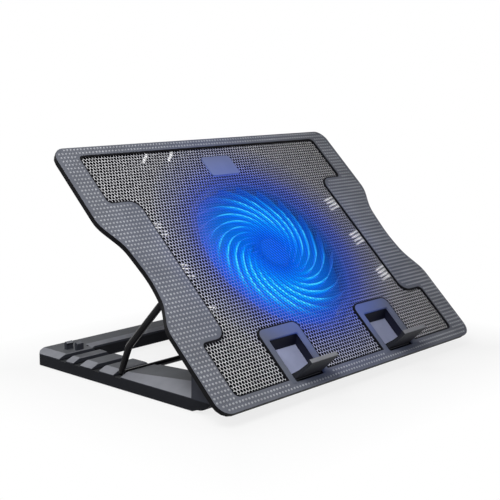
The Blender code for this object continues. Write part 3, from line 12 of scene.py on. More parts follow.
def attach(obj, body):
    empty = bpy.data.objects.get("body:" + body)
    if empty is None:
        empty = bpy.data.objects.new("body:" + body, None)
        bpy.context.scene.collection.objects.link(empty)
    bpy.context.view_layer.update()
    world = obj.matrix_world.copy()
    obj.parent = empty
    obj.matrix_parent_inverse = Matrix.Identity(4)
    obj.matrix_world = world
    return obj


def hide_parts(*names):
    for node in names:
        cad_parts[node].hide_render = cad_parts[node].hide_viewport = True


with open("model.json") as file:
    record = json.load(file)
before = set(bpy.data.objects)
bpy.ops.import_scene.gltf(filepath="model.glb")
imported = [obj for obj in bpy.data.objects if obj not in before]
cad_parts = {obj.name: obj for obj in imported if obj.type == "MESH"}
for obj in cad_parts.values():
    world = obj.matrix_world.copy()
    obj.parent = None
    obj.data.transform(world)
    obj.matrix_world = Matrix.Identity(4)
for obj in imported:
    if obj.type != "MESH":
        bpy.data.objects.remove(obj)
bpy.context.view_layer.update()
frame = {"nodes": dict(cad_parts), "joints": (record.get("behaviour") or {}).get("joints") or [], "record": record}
NODES = frame["nodes"]
JOINTS = {joint["name"]: joint for joint in frame["joints"]}

# Deck frame: x across the deck, y up it from its front edge, z out of its top face
UP = (0, 0, 1)
FAN_FROM_FRONT = 0.1455
FAN_ON_DECK = (0, FAN_FROM_FRONT, 0)
NORMAL = Vector(JOINTS["fan_spin"]["axis"]).normalized()
UP_DECK = NORMAL.cross(Vector((1, 0, 0)))
FAN_PLACE = Vector(JOINTS["fan_spin"]["pos_m"])
DECK_ORIGIN = FAN_PLACE - UP_DECK * FAN_FROM_FRONT
TURN = Matrix((Vector((1, 0, 0)), UP_DECK, NORMAL)).transposed().to_4x4()
DECK = Matrix.Translation(DECK_ORIGIN) @ TURN
FAN = Matrix.Translation(FAN_PLACE) @ TURN

# Outline of the deck, in metres like every length here
DECK_HALF = 0.190
REAR_HALF = 0.193
DECK_DEPTH = 0.287
DECK_CORNER = 0.0135
LOWER_WING_END = 0.0865
WAIST_START = 0.111
WAIST_START_INSET = 0.0125
WAIST_MIDDLE = 0.136
WAIST_INSET = 0.0158
WAIST_END = 0.174
WAIST_END_INSET = 0.0115
UPPER_WING_START = 0.200
WING_RADIUS = 0.030
SHOULDER_RADIUS = 0.042
WAIST_RADIUS = 0.100
BEZEL_THICKNESS = 0.0018
BEZEL_EDGE = 0.0006
BEZEL_EDGE_STEPS = 3

# Opening in the bezel, and the black strip along its edge: a painted shadow line between the bezel and the sheet
OPENING_FRONT = 0.0119
OPENING_REAR = 0.2772
LOWER_LOBE_WIDTH = 0.330
LOWER_LOBE_END = 0.0674
NECK_WIDTH = 0.269
UPPER_LOBE_START = 0.2204
UPPER_LOBE_WIDTH = 0.336
LOBE_CORNER = 0.0055
NECK_CORNER = 0.0115
SHADOW_STRIP_WIDTH = 0.0014
SHADOW_STRIP_BELOW = 0.0003
SHADOW_STRIP_EDGE = SHADOW_STRIP_BELOW / 3
SHADOW_STRIP_EDGE_STEPS = 2

# Stop frames in the opening's front edge, and their windows
STOP_OFFSET = 0.0704
STOP_FRAME_WIDTH = 0.0530
STOP_FRAME_END = 0.0650
STOP_FRAME_CORNER = 0.0070
STOP_FRAME_FRONT_CORNER = 0.0010
STOP_FRAME_LIP = 0.0010
STOP_FRAME_RISE = 0.0003
STOP_FRAME_SINK = 0.0001
WINDOW_WIDTH = 0.0400
WINDOW_FRONT = 0.0085
WINDOW_END = 0.0535
WINDOW_CORNER = 0.0020

# Raised dots on the bezel; shoulder and crown are shares of the radius and the height
DOT_PITCH = 0.0039
DOT_ROW = 0.00425
DOT_PHASE = 0.9
DOT_MARGIN = 0.0019
DOT_RADIUS = 0.00112
DOT_HEIGHT = 0.00065
DOT_SINK = 0.00005
DOT_SHOULDER_RADIUS = 0.80
DOT_SHOULDER_HEIGHT = 0.62
DOT_CROWN_RADIUS = 0.40
DOT_SIDES = 10

# Perforated sheet; holes are shares of their six-sided cells, and widest over the fan
HOLE_PITCH = 0.0036
HOLE_ROW = 0.0034
HOLE_ACROSS = 0.82
HOLE_ALONG = 0.85
HOLE_ACROSS_FAN = 0.86
HOLE_ALONG_FAN = 0.89
WIDE_HOLES_WITHIN = 0.066
EVEN_HOLES_BEYOND = 0.084
SPARE_COLUMNS = 2
SHEET_TOP = 0.0021
SHEET_THICKNESS = 0.0006
SHEET_LAP = 0.0026

# Lit rotor, with its top measured down from the deck's top face
ROTOR_TOP = 0.0072
HUB_RADIUS = 0.0170
HUB_HEIGHT = 0.0110
HUB_WALL = 0.0020
HUB_CROWN = 0.0018
HUB_DOME = 0.0004
HUB_SHOULDER = 0.0003
HUB_SHOULDER_SHARE = 0.6
HUB_EDGE = 0.0015
HUB_EDGE_SHARE = 0.3
HUB_STEPS = 64
BLADES = 20
BLADE_TIP_RADIUS = 0.0835
BLADE_TOP = 0.0008
BLADE_HEIGHT = 0.0092
BLADE_LEAN = 0.0050
BLADE_THICKNESS = 0.0012
BLADE_TIP_THINNING = 0.35
BLADE_TOP_SHARE = 0.45
BLADE_SWEEP = 2.2
BLADE_SWEEP_RADIUS = 0.030
BLADE_STATIONS = 28

# Glowing screen between the rotor and the drum's air slots, painted with the fan's blue light
SCREEN_INNER = 0.0200
SCREEN_OUTER = 0.0855
SCREEN_BELOW = 0.0190
SCREEN_THICKNESS = 0.0004
SCREEN_STEPS = 96

# Roundness of the meshes, with angles in degrees, and how their points and faces are sorted
ARC_STEPS = 12
SMALL_ARC_STEPS = 4
SOFTENED_OVER = 60
PLATE_SMOOTH_UNDER = 30
DOT_SMOOTH_UNDER = 60
ROTOR_SMOOTH_UNDER = 40
FACES_UP_OVER = 0.5
WELD = 1e-6
MICRONS_IN_METRE = 1e6

# Depth of the plastics' grain
COARSE = 0.00008
MATT = 0.00004
SATIN = 0.00002
POLISHED = 0.00001

# Plastics: colour, roughness, drift of the colour, grain and gloss
PLASTICS = {
    "bezel_grey": ((0.146, 0.154, 0.182), 0.55, 0.10, MATT, 0.04),
    # The next dot colour is lighter than the ground: a painted highlight on the raised dots
    "bezel_dot": ((0.350, 0.360, 0.390), 0.45, 0.14, MATT, 0.06),
    "bezel_smooth": ((0.130, 0.140, 0.170), 0.45, 0.06, SATIN, 0.06),
    "plate_grey": ((0.125, 0.140, 0.200), 0.38, 0.10, MATT, 0.30),
    "shell_black": ((0.0050, 0.0050, 0.0060), 0.50, 0.20, MATT, 0.05),
    # The next black is painted shade: the shadow line along the opening and the shade on the sheet's hole walls
    "seal_black": ((0.006, 0.006, 0.008), 0.70, 0.20, MATT, 0.10),
    "rubber": ((0.012, 0.012, 0.012), 0.85, 0.25, COARSE, 0.20),
    "board_green": ((0.010, 0.085, 0.030), 0.45, 0.25, MATT, 0.30),
    "prop_black": ((0.0035, 0.0035, 0.0045), 0.22, 0.20, POLISHED, 0.06),
    "led_blue": ((0.020, 0.060, 0.240), 0.25, 0.10, POLISHED, 0.10),
    "drum_black": ((0.0085, 0.0090, 0.0140), 0.45, 0.20, MATT, 0.18),
    "fan_black": ((0.010, 0.016, 0.060), 0.45, 0.15, MATT, 0.20),
    # The next blue, with the glow given it below, is the fan's light painted on the screen over the drum's slots
    "screen_blue": ((0.004, 0.020, 0.120), 0.60, 0.30, COARSE, 0.10),
    "screen_black": ((0.005, 0.005, 0.007), 0.70, 0.30, COARSE, 0.10),
    "rotor_blue": ((0.002, 0.030, 0.240), 0.30, 0.10, POLISHED, 0.08),
}
PROP_COAT = 0.06
PROP_COAT_ROUGHNESS = 0.08

# Metals: colour and roughness
METALS = {
    "steel": ((0.55, 0.55, 0.57), 0.3),
    "iron": ((0.18, 0.15, 0.13), 0.5),
    "bronze": ((0.45, 0.28, 0.12), 0.4),
}

# Painted light and shade by how squarely a face turns to an axis: shaded sides, lit tops and a painted highlight
# on the base's chamfers; painted shade darkens the base towards the table
BASE_SHADED_SIDE = (0.0360, 0.0385, 0.0490)
BASE_TONES = [
    (0.00, BASE_SHADED_SIDE),
    (0.45, BASE_SHADED_SIDE),
    (0.70, (0.150, 0.155, 0.172)),
    (0.93, (0.222, 0.228, 0.254)),
    (0.985, (0.098, 0.102, 0.112)),
    (1.00, (0.090, 0.094, 0.103)),
]
BASE_SHADE_BELOW = (0.0112, 0.0124)
BASE_SHADE_SHARE = 0.30
# Painted shade on the trays' walls, and light on their floors
TRAY_SHADED_WALL = (0.0060, 0.0065, 0.0180)
TRAY_TONES = [(0.00, TRAY_SHADED_WALL), (0.90, TRAY_SHADED_WALL), (0.98, (0.340, 0.370, 0.540))]
# Painted shade on the flaps' front faces, and a painted highlight on their top edges
FLAP_SHADED_FACE = (0.022, 0.023, 0.029)
FLAP_TONES = [(0.00, FLAP_SHADED_FACE), (0.60, FLAP_SHADED_FACE), (0.85, (0.250, 0.255, 0.280))]

# Plastics with light and shade painted by facing: axis, tones, roughness, gloss, and where painted shade falls low
# on the axis
FACE_SHADED_PLASTICS = {
    "base_grey": (UP, BASE_TONES, 0.60, 0.05, BASE_SHADE_BELOW),
    "tray_grey": (NORMAL, TRAY_TONES, 0.50, 0.20),
    "flap_grey": (NORMAL, FLAP_TONES, 0.55, 0.08),
}

# Noise of the finishes as scale and detail, the range that it stays in, and what it moves
DRIFT_NOISE = (38.0, 4.0)
GRAIN_NOISE = (1400.0, 2.0)
SHEET_NOISE = (420.0, 3.0)
SHEET_GRAIN_NOISE = (2200.0, 2.0)
METAL_NOISE = (1.0, 3.0)
METAL_STRETCH = (40, 900, 900)
NOISE_LOW = 0.3
NOISE_HIGH = 0.7
PLASTIC_ROUGHNESS_SWING = 0.06
PLASTIC_SOFT_EDGE = 0.0004
FACED_DRIFT = 0.12
METAL_ROUGHNESS_SWING = 0.07
METAL_SOFT_EDGE = 0.0002
METAL_DRIFT = 0.15
SHEET_GLOSS = 0.05
SHEET_DRIFT = 0.28
SHEET_ROUGHNESS = (0.36, 0.52)
SOFT_EDGE_SAMPLES = 6

# Blue light of the fan, by distance from its axis: painted glow and tint on the bezel, plate, sheet, screen, drum
# and fan frame
GLOW_REACH = 0.200
BEZEL_GLOW = [
    (0.095, (0.000, 0.030, 0.230)),
    (0.108, (0.000, 0.022, 0.170)),
    (0.128, (0.002, 0.009, 0.055)),
    (0.150, (0.001, 0.004, 0.016)),
    (0.195, (0.000, 0.000, 0.000)),
]
# The sheet's bars painted dark blue near the fan, standing in for its light on them
SHEET_TONES = [
    (0.060, (0.002, 0.018, 0.100)),
    (0.076, (0.080, 0.100, 0.240)),
    (0.090, (0.190, 0.205, 0.350)),
    (0.108, (0.400, 0.410, 0.500)),
    (0.140, (0.700, 0.703, 0.725)),
]
SHEET_GLOW = [
    (0.000, (0.000, 0.105, 0.780)),
    (0.048, (0.000, 0.175, 0.740)),
    (0.070, (0.004, 0.140, 0.660)),
    (0.082, (0.015, 0.105, 0.720)),
    (0.095, (0.018, 0.080, 0.660)),
    (0.113, (0.012, 0.034, 0.250)),
    (0.140, (0.002, 0.006, 0.045)),
    (0.195, (0.000, 0.000, 0.000)),
]
SCREEN_GLOW = [
    (0.018, (0.000, 0.130, 0.860)),
    (0.050, (0.000, 0.175, 0.800)),
    (0.070, (0.000, 0.095, 0.540)),
    (0.085, (0.000, 0.024, 0.210)),
]
DRUM_GLOW = [
    (0.0200, (0.000, 0.040, 0.380)),
    (0.0880, (0.000, 0.001, 0.010)),
    (0.0970, (0.000, 0.001, 0.010)),
    (0.0985, (0.000, 0.000, 0.000)),
]
FAN_FRAME_GLOW = [
    (0.0200, (0.000, 0.050, 0.450)),
    (0.0880, (0.000, 0.008, 0.085)),
    (0.0970, (0.000, 0.008, 0.085)),
    (0.0985, (0.000, 0.000, 0.000)),
]
LIT_FACING = (-0.6, -0.2)
LED_GLOW = (0.0, 0.05, 0.30, 1.0)

# Light in the rotor: blade edges by depth, fading at root and tip, and its shade by radius
EDGE_FADES = (0.49, 0.80)
ROOT_FADES = (0.022, 0.043)
TIP_FADES = (0.064, 0.081)
TIP_LIGHT = 0.15
ROTOR_STRENGTH = (0.95, 1.50)
BLADE_LIGHT = [
    (0.00, (0.000, 0.128, 0.880)),
    (0.40, (0.000, 0.230, 0.920)),
    (0.75, (0.000, 0.400, 0.980)),
    (1.00, (0.080, 0.740, 1.000)),
]
ROTOR_SHADE = [
    (0.17, (1.00, 1.00, 1.00)),
    (0.20, (0.62, 0.62, 0.72)),
    (0.24, (0.92, 0.92, 0.95)),
    (0.70, (1.00, 1.00, 1.00)),
    (0.98, (0.25, 0.25, 0.35)),
]

# Solids whose finish isn't their slot's
OWN_FINISH = {
    "name_plate": "plate_grey",
    "fan_housing": "drum_black",
    "stop_tray_left": "tray_grey",
    "stop_tray_right": "tray_grey",
    "stop_flap_left": "flap_grey",
    "stop_flap_right": "flap_grey",
}

# Studio; lamps are place, target, power and size
FLOOR_SIZE = 8.0
FLOOR_GREY = 0.72
FLOOR_ROUGHNESS = 0.9
FLOOR_PLAIN_ACROSS = 0.19
FLOOR_PLAIN_ALONG = 0.14
FLOOR_FADE = 0.10
FLOOR_WHITE = 0.82
WORLD_LIGHT = 0.15
LAMPS = {
    "key": ((-0.60, -0.30, 0.61), (-0.08, 0, 0.1), 5.5, 0.40),
    "back": ((-0.35, 0.60, 0.95), (-0.1, 0, 0.1), 4.0, 0.8),
}
CAMERA_PLACE = (-0.79858, -0.69418, 0.29200)
CAMERA_PITCH = math.radians(9.83189)
CAMERA_YAW = math.radians(48.45208)
CAMERA_ROLL = math.radians(0.58423)
CAMERA_LENS = 78.946
CAMERA_SENSOR = 36.0


# Materials

class Look:
    """A Principled material with its nodes, addressed by short calls."""

    def __init__(self, name):
        self.material = bpy.data.materials.new(name)
        self.material.use_nodes = True
        self.tree = self.material.node_tree
        self.shader = self.tree.nodes["Principled BSDF"]
        coordinates = self.node("ShaderNodeTexCoord")
        self.place = coordinates.outputs["Object"]
        self.facing = coordinates.outputs["Normal"]

    def node(self, kind, **settings):
        made = self.tree.nodes.new(kind)
        for key, value in settings.items():
            setattr(made, key, value)
        return made

    def link(self, source, target):
        self.tree.links.new(source, target)

    def set(self, **values):
        for key, value in values.items():
            self.shader.inputs[key.replace("_", " ")].default_value = value

    def drive(self, source, socket="Base Color"):
        self.link(source, self.shader.inputs[socket])

    def noise(self, scale, detail, stretch=None):
        made = self.node("ShaderNodeTexNoise")
        made.inputs["Scale"].default_value = scale
        made.inputs["Detail"].default_value = detail
        place = self.place
        if stretch:
            mapping = self.node("ShaderNodeMapping")
            mapping.inputs["Scale"].default_value = stretch
            self.link(place, mapping.inputs["Vector"])
            place = mapping.outputs["Vector"]
        self.link(place, made.inputs["Vector"])
        return made.outputs["Fac"]

    def ramp(self, factor, stops):
        made = self.node("ShaderNodeValToRGB")
        elements = made.color_ramp.elements
        while len(elements) < len(stops):
            elements.new(0.5)
        for element, (where, colour) in zip(elements, stops):
            element.position = where
            element.color = (*colour, 1.0)
        self.link(factor, made.inputs["Fac"])
        return made.outputs["Color"]

    def spread(self, factor, low, high, start=NOISE_LOW, end=NOISE_HIGH):
        """A factor's range from start to end, stretched to run from low to high."""
        made = self.node("ShaderNodeMapRange")
        for socket, value in zip(made.inputs[1:5], (start, end, low, high)):
            socket.default_value = value
        self.link(factor, made.inputs["Value"])
        return made.outputs["Result"]

    def math(self, operation, first, second=None):
        made = self.node("ShaderNodeMath", operation=operation)
        for socket, value in zip(made.inputs, (first, second)):
            if isinstance(value, (int, float)):
                socket.default_value = value
            elif value is not None:
                self.link(value, socket)
        return made.outputs["Value"]

    def vector(self, operation, first, second, output="Vector"):
        made = self.node("ShaderNodeVectorMath", operation=operation)
        for socket, value in zip(made.inputs, (first, second)):
            if isinstance(value, (tuple, Vector)):
                socket.default_value = value
            elif value is not None:
                self.link(value, socket)
        return made.outputs[output]

    def grain(self, height, depth, soft_edge=0.0):
        """Fine relief, over edges that catch light as if rounded by soft_edge."""
        bump = self.node("ShaderNodeBump")
        bump.inputs["Strength"].default_value = 1.0
        bump.inputs["Distance"].default_value = depth
        self.link(height, bump.inputs["Height"])
        if soft_edge:
            rounding = self.node("ShaderNodeBevel", samples=SOFT_EDGE_SAMPLES)
            rounding.inputs["Radius"].default_value = soft_edge
            self.link(rounding.outputs["Normal"], bump.inputs["Normal"])
        self.drive(bump.outputs["Normal"], "Normal")

    def along(self, axis):
        return self.vector("DOT_PRODUCT", self.place, axis, "Value")

    def towards(self, axis):
        """How squarely the surface faces an axis of the piece."""
        return self.vector("DOT_PRODUCT", self.facing, axis, "Value")

    def radius_from(self, centre, axis):
        """Distance from an axis through a point, in the piece's own coordinates."""
        apart = self.vector("SUBTRACT", self.place, centre)
        return self.vector("LENGTH", self.vector("CROSS_PRODUCT", apart, axis), None, "Value")

    def rings(self, centre, axis, stops):
        """Colours that follow the distance from an axis, with (radius, colour) stops."""
        share = self.math("DIVIDE", self.radius_from(centre, axis), GLOW_REACH)
        return self.ramp(share, [(radius / GLOW_REACH, colour) for radius, colour in stops])

    def toned(self, colour, share):
        """A colour made lighter or darker from place to place."""
        made = self.node("ShaderNodeVectorMath", operation="SCALE")
        self.link(colour, made.inputs[0])
        self.link(share, made.inputs["Scale"])
        return made.outputs["Vector"]

    def vary(self, factor, colour, drift):
        """The base colour, drifting between a darker and a lighter shade."""
        dark, light = shade(colour, 1 - drift), shade(colour, 1 + drift)
        self.drive(self.ramp(factor, [(NOISE_LOW, dark), (NOISE_HIGH, light)]))


def shade(colour, share):
    return tuple(channel * share for channel in colour)


def moulded(name, roughness, grain, gloss):
    """The fine grain and uneven gloss of moulded plastic, before it gets a colour."""
    look = Look(name)
    look.set(Specular_IOR_Level=gloss)
    fine = look.noise(*GRAIN_NOISE)
    swing = PLASTIC_ROUGHNESS_SWING
    look.drive(look.spread(fine, roughness - swing, roughness + swing), "Roughness")
    look.grain(fine, grain, PLASTIC_SOFT_EDGE)
    return look


def plastic(name, colour, roughness, drift, grain, gloss):
    look = moulded(name, roughness, grain, gloss)
    look.vary(look.noise(*DRIFT_NOISE), colour, drift)
    return look


def face_shaded_plastic(name, axis, tones, roughness, gloss, shade_below=None):
    """Plastic with light and shade painted by how its faces turn to an axis, and may have painted shade low on it.
    """
    look = moulded(name, roughness, MATT, gloss)
    share = look.spread(look.noise(*DRIFT_NOISE), 1 - FACED_DRIFT, 1 + FACED_DRIFT)
    if shade_below:
        depth = look.spread(look.along(axis), BASE_SHADE_SHARE, 1.0, *shade_below)
        share = look.math("MULTIPLY", share, depth)
    look.drive(look.toned(look.ramp(look.towards(axis), tones), share))
    return look


def metal(name, colour, roughness):
    """Drawn or rolled metal with fine lengthwise marks."""
    look = Look(name)
    look.set(Metallic=1.0)
    marks = look.noise(*METAL_NOISE, METAL_STRETCH)
    look.vary(marks, colour, METAL_DRIFT)
    swing = METAL_ROUGHNESS_SWING
    look.drive(look.spread(marks, roughness - swing, roughness + swing), "Roughness")
    look.grain(marks, POLISHED, METAL_SOFT_EDGE)
    return look


def glow(look, centre, axis, stops):
    """Blue light of the fan painted as glow on what lies round it, fading outwards."""
    look.drive(look.rings(centre, axis, stops), "Emission Color")
    look.set(Emission_Strength=1.0)


def fan_glow(look, stops):
    """Painted blue glow on the walls round the rotor, but not on what faces away from it."""
    glow(look, FAN_PLACE, NORMAL, stops)
    lit = look.spread(look.towards(NORMAL), 0.0, 1.0, *LIT_FACING)
    look.drive(lit, "Emission Strength")


def sheet_look():
    """Punched sheet metal: bright bars, painted dark blue and glowing near the fan as a stand-in for its light."""
    look = Look("mesh_metal")
    look.set(Specular_IOR_Level=SHEET_GLOSS)
    drift = look.spread(look.noise(*SHEET_NOISE), 1 - SHEET_DRIFT, 1 + SHEET_DRIFT)
    look.drive(look.toned(look.rings(FAN_ON_DECK, UP, SHEET_TONES), drift))
    fine = look.noise(*SHEET_GRAIN_NOISE)
    look.drive(look.spread(fine, *SHEET_ROUGHNESS), "Roughness")
    look.grain(fine, SATIN)
    glow(look, FAN_ON_DECK, UP, SHEET_GLOW)
    return look


def light_rotor(look):
    """Clear blue plastic lit from its rim: bright blade edges, deep blue hub."""
    below_top = look.math("MULTIPLY", look.along(UP), -1.0)
    depth = look.math("DIVIDE", below_top, ROTOR_TOP + BLADE_TOP + BLADE_HEIGHT)
    edge = look.spread(depth, 1.0, 0.0, *EDGE_FADES)
    reach = look.radius_from((0, 0, 0), UP)
    root = look.spread(reach, 0.0, 1.0, *ROOT_FADES)
    tip = look.spread(reach, 1.0, TIP_LIGHT, *TIP_FADES)
    bright = look.math("MULTIPLY", edge, look.math("MULTIPLY", root, tip))
    rim = look.ramp(look.math("DIVIDE", reach, BLADE_TIP_RADIUS), ROTOR_SHADE)
    lines = look.vector("MULTIPLY", look.ramp(bright, BLADE_LIGHT), rim)
    look.drive(lines, "Emission Color")
    look.drive(look.spread(bright, *ROTOR_STRENGTH, 0.0, 1.0), "Emission Strength")


def make_looks():
    looks = {"mesh_metal": sheet_look()}
    for make, finishes in (
        (plastic, PLASTICS),
        (face_shaded_plastic, FACE_SHADED_PLASTICS),
        (metal, METALS),
    ):
        looks.update({name: make(name, *finish) for name, finish in finishes.items()})
    looks["prop_black"].set(Coat_Weight=PROP_COAT, Coat_Roughness=PROP_COAT_ROUGHNESS)
    looks["led_blue"].set(Emission_Color=LED_GLOW, Emission_Strength=1.0)
    # Painted blue glow of the fan on the bezel, the name plate, the screen, the drum and the fan frame
    for name in ("bezel_grey", "bezel_dot", "bezel_smooth"):
        glow(looks[name], FAN_ON_DECK, UP, BEZEL_GLOW)
    glow(looks["plate_grey"], FAN_PLACE, NORMAL, BEZEL_GLOW)
    glow(looks["screen_blue"], (0, 0, 0), UP, SCREEN_GLOW)
    fan_glow(looks["drum_black"], DRUM_GLOW)
    fan_glow(looks["fan_black"], FAN_FRAME_GLOW)
    light_rotor(looks["rotor_blue"])
    return looks


def finish_solids(looks):
    """Every solid of the frame takes its slot's finish, or one of its own."""
    for part in frame["record"]["subparts"]:
        look = looks[OWN_FINISH.get(part["node"], part["material_slot"])]
        mesh = NODES[part["node"]].data
        mesh.materials.clear()
        mesh.materials.append(look.material)


# Modelling tools

def add_piece(name, mesh, looks, body, place=DECK, replaced=()):
    """A piece in place on its body, standing for the named solids of the frame."""
    piece = bpy.data.objects.new(name, mesh)
    bpy.context.scene.collection.objects.link(piece)
    piece.matrix_world = place
    for look in looks:
        mesh.materials.append(look.material)
    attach(piece, body)
    if replaced:
        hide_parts(*replaced)
    return piece


def smooth(mesh, angle):
    mesh.shade_smooth()
    mesh.set_sharp_from_angle(angle=math.radians(angle))


def soften(piece, width, steps):
    """Rounds the edges at which faces meet sharply."""
    edge = piece.modifiers.new("edge", "BEVEL")
    edge.width = width
    edge.segments = steps
    edge.limit_method = "ANGLE"
    edge.angle_limit = math.radians(SOFTENED_OVER)


def rounded(corners, steps=ARC_STEPS):
    """The closed outline through (x, y, radius) corners, each rounded with an arc."""
    points = []
    for index, (x, y, radius) in enumerate(corners):
        corner = Vector((x, y))
        to_last = (Vector(corners[index - 1][:2]) - corner).normalized()
        to_next = (Vector(corners[(index + 1) % len(corners)][:2]) - corner).normalized()
        if radius <= 0:
            points.append((x, y))
            continue
        half = to_last.angle(to_next) / 2
        centre = corner + (to_last + to_next).normalized() * (radius / math.sin(half))
        reach = radius / math.tan(half)
        first = corner + to_last * reach - centre
        last = corner + to_next * reach - centre
        turn = math.atan2(first.x * last.y - first.y * last.x, first.dot(last))
        start = math.atan2(first.y, first.x)
        for step in range(steps + 1):
            angle = start + turn * step / steps
            across, along = radius * math.cos(angle), radius * math.sin(angle)
            points.append((centre.x + across, centre.y + along))
    return points


def mirrored(half):
    """A full outline from the corners of its right half, listed from the front to the rear."""
    return half + [(-x, y, radius) for x, y, radius in reversed(half)]


def circle(radius, sides):
    turns = [2 * math.pi * side / sides for side in range(sides)]
    return [(radius * math.cos(turn), radius * math.sin(turn)) for turn in turns]


def deck_outline(grow=0.0):
    half = [
        (DECK_HALF, -grow, DECK_CORNER),
        (DECK_HALF, LOWER_WING_END, WING_RADIUS),
        (DECK_HALF - WAIST_START_INSET, WAIST_START, SHOULDER_RADIUS),
        (DECK_HALF - WAIST_INSET, WAIST_MIDDLE, WAIST_RADIUS),
        (DECK_HALF - WAIST_END_INSET, WAIST_END, SHOULDER_RADIUS),
        (REAR_HALF, UPPER_WING_START, WING_RADIUS),
        (REAR_HALF, DECK_DEPTH + grow, DECK_CORNER),
    ]
    return rounded(mirrored([(x + grow, y, radius) for x, y, radius in half]))


def opening_outline(grow=0.0):
    """The bezel's mesh opening, grown outwards; the stop frames stand in its front edge."""
    front = OPENING_FRONT - grow
    near = STOP_OFFSET - STOP_FRAME_WIDTH / 2 + grow
    far = STOP_OFFSET + STOP_FRAME_WIDTH / 2 - grow
    end = STOP_FRAME_END - grow
    half = [
        (near, front, 0),
        (near, end, STOP_FRAME_CORNER),
        (far, end, STOP_FRAME_CORNER),
        (far, front, 0),
        (LOWER_LOBE_WIDTH / 2 + grow, front, LOBE_CORNER),
        (LOWER_LOBE_WIDTH / 2 + grow, LOWER_LOBE_END + grow, LOBE_CORNER),
        (NECK_WIDTH / 2 + grow, LOWER_LOBE_END + grow, NECK_CORNER),
        (NECK_WIDTH / 2 + grow, UPPER_LOBE_START - grow, NECK_CORNER),
        (UPPER_LOBE_WIDTH / 2 + grow, UPPER_LOBE_START - grow, LOBE_CORNER),
        (UPPER_LOBE_WIDTH / 2 + grow, OPENING_REAR + grow, LOBE_CORNER),
    ]
    return rounded(mirrored(half))


def window_outline(sign):
    left = sign * STOP_OFFSET - WINDOW_WIDTH / 2
    right = left + WINDOW_WIDTH
    corners = [
        (left, WINDOW_FRONT, WINDOW_CORNER),
        (right, WINDOW_FRONT, WINDOW_CORNER),
        (right, WINDOW_END, WINDOW_CORNER),
        (left, WINDOW_END, WINDOW_CORNER),
    ]
    return rounded(corners, SMALL_ARC_STEPS)


def inside(loop, points):
    """Which of an array of points lie inside a closed loop."""
    within = np.zeros(len(points), bool)
    x, y = points[:, 0], points[:, 1]
    for index, (ax, ay) in enumerate(loop):
        bx, by = loop[index - 1]
        if ay == by:
            continue
        crosses = (ay > y) != (by > y)
        within ^= crosses & (x < (bx - ax) * (y - ay) / (by - ay) + ax)
    return within


def filled(name, loops, low, high):
    """Outlines filled and extruded between two heights, a loop inside another being a hole."""
    curve = bpy.data.curves.new(name, "CURVE")
    curve.dimensions = "2D"
    curve.fill_mode = "BOTH"
    curve.extrude = (high - low) / 2
    for loop in loops:
        spline = curve.splines.new("POLY")
        spline.points.add(len(loop) - 1)
        spline.use_cyclic_u = True
        for point, (x, y) in zip(spline.points, loop):
            point.co = (x, y, 0, 1)
    guide = bpy.data.objects.new(name, curve)
    bpy.context.scene.collection.objects.link(guide)
    graph = bpy.context.evaluated_depsgraph_get()
    mesh = bpy.data.meshes.new_from_object(guide.evaluated_get(graph))
    bpy.data.objects.remove(guide)
    mesh.name = name
    mesh.materials.clear()
    work = bmesh.new()
    work.from_mesh(mesh)
    bmesh.ops.remove_doubles(work, verts=work.verts, dist=WELD)
    bmesh.ops.translate(work, vec=(0, 0, (low + high) / 2), verts=work.verts)
    bmesh.ops.recalc_face_normals(work, faces=work.faces)
    work.to_mesh(mesh)
    work.free()
    return mesh


# Deck

def make_bezel(looks):
    """The bezel with a black outer edge, in place of its plainer solid."""
    loops = [deck_outline(), opening_outline(), window_outline(-1), window_outline(1)]
    mesh = filled("bezel_cover", loops, -BEZEL_THICKNESS, 0)
    finishes = [looks["bezel_grey"], looks["shell_black"]]
    replaced = ["deck_bezel"]
    bezel = add_piece("bezel_cover", mesh, finishes, "deck", replaced=replaced)
    middles = np.array([face.center[:2] for face in mesh.polygons])
    outside = ~inside(deck_outline(-BEZEL_EDGE), middles)
    for face, outer in zip(mesh.polygons, outside):
        face.material_index = 1 if outer and abs(face.normal.z) < FACES_UP_OVER else 0
    soften(bezel, BEZEL_EDGE, BEZEL_EDGE_STEPS)
    smooth(mesh, PLATE_SMOOTH_UNDER)


def make_shadow_strip(looks):
    """Black strip along the opening's edge, between the bezel and the sheet: a painted shadow line."""
    loops = [opening_outline(), opening_outline(-SHADOW_STRIP_WIDTH)]
    mesh = filled("opening_shadow_strip", loops, -SHEET_TOP, -SHADOW_STRIP_BELOW)
    shadow_strip = add_piece("opening_shadow_strip", mesh, [looks["seal_black"]], "deck")
    soften(shadow_strip, SHADOW_STRIP_EDGE, SHADOW_STRIP_EDGE_STEPS)
    smooth(mesh, PLATE_SMOOTH_UNDER)


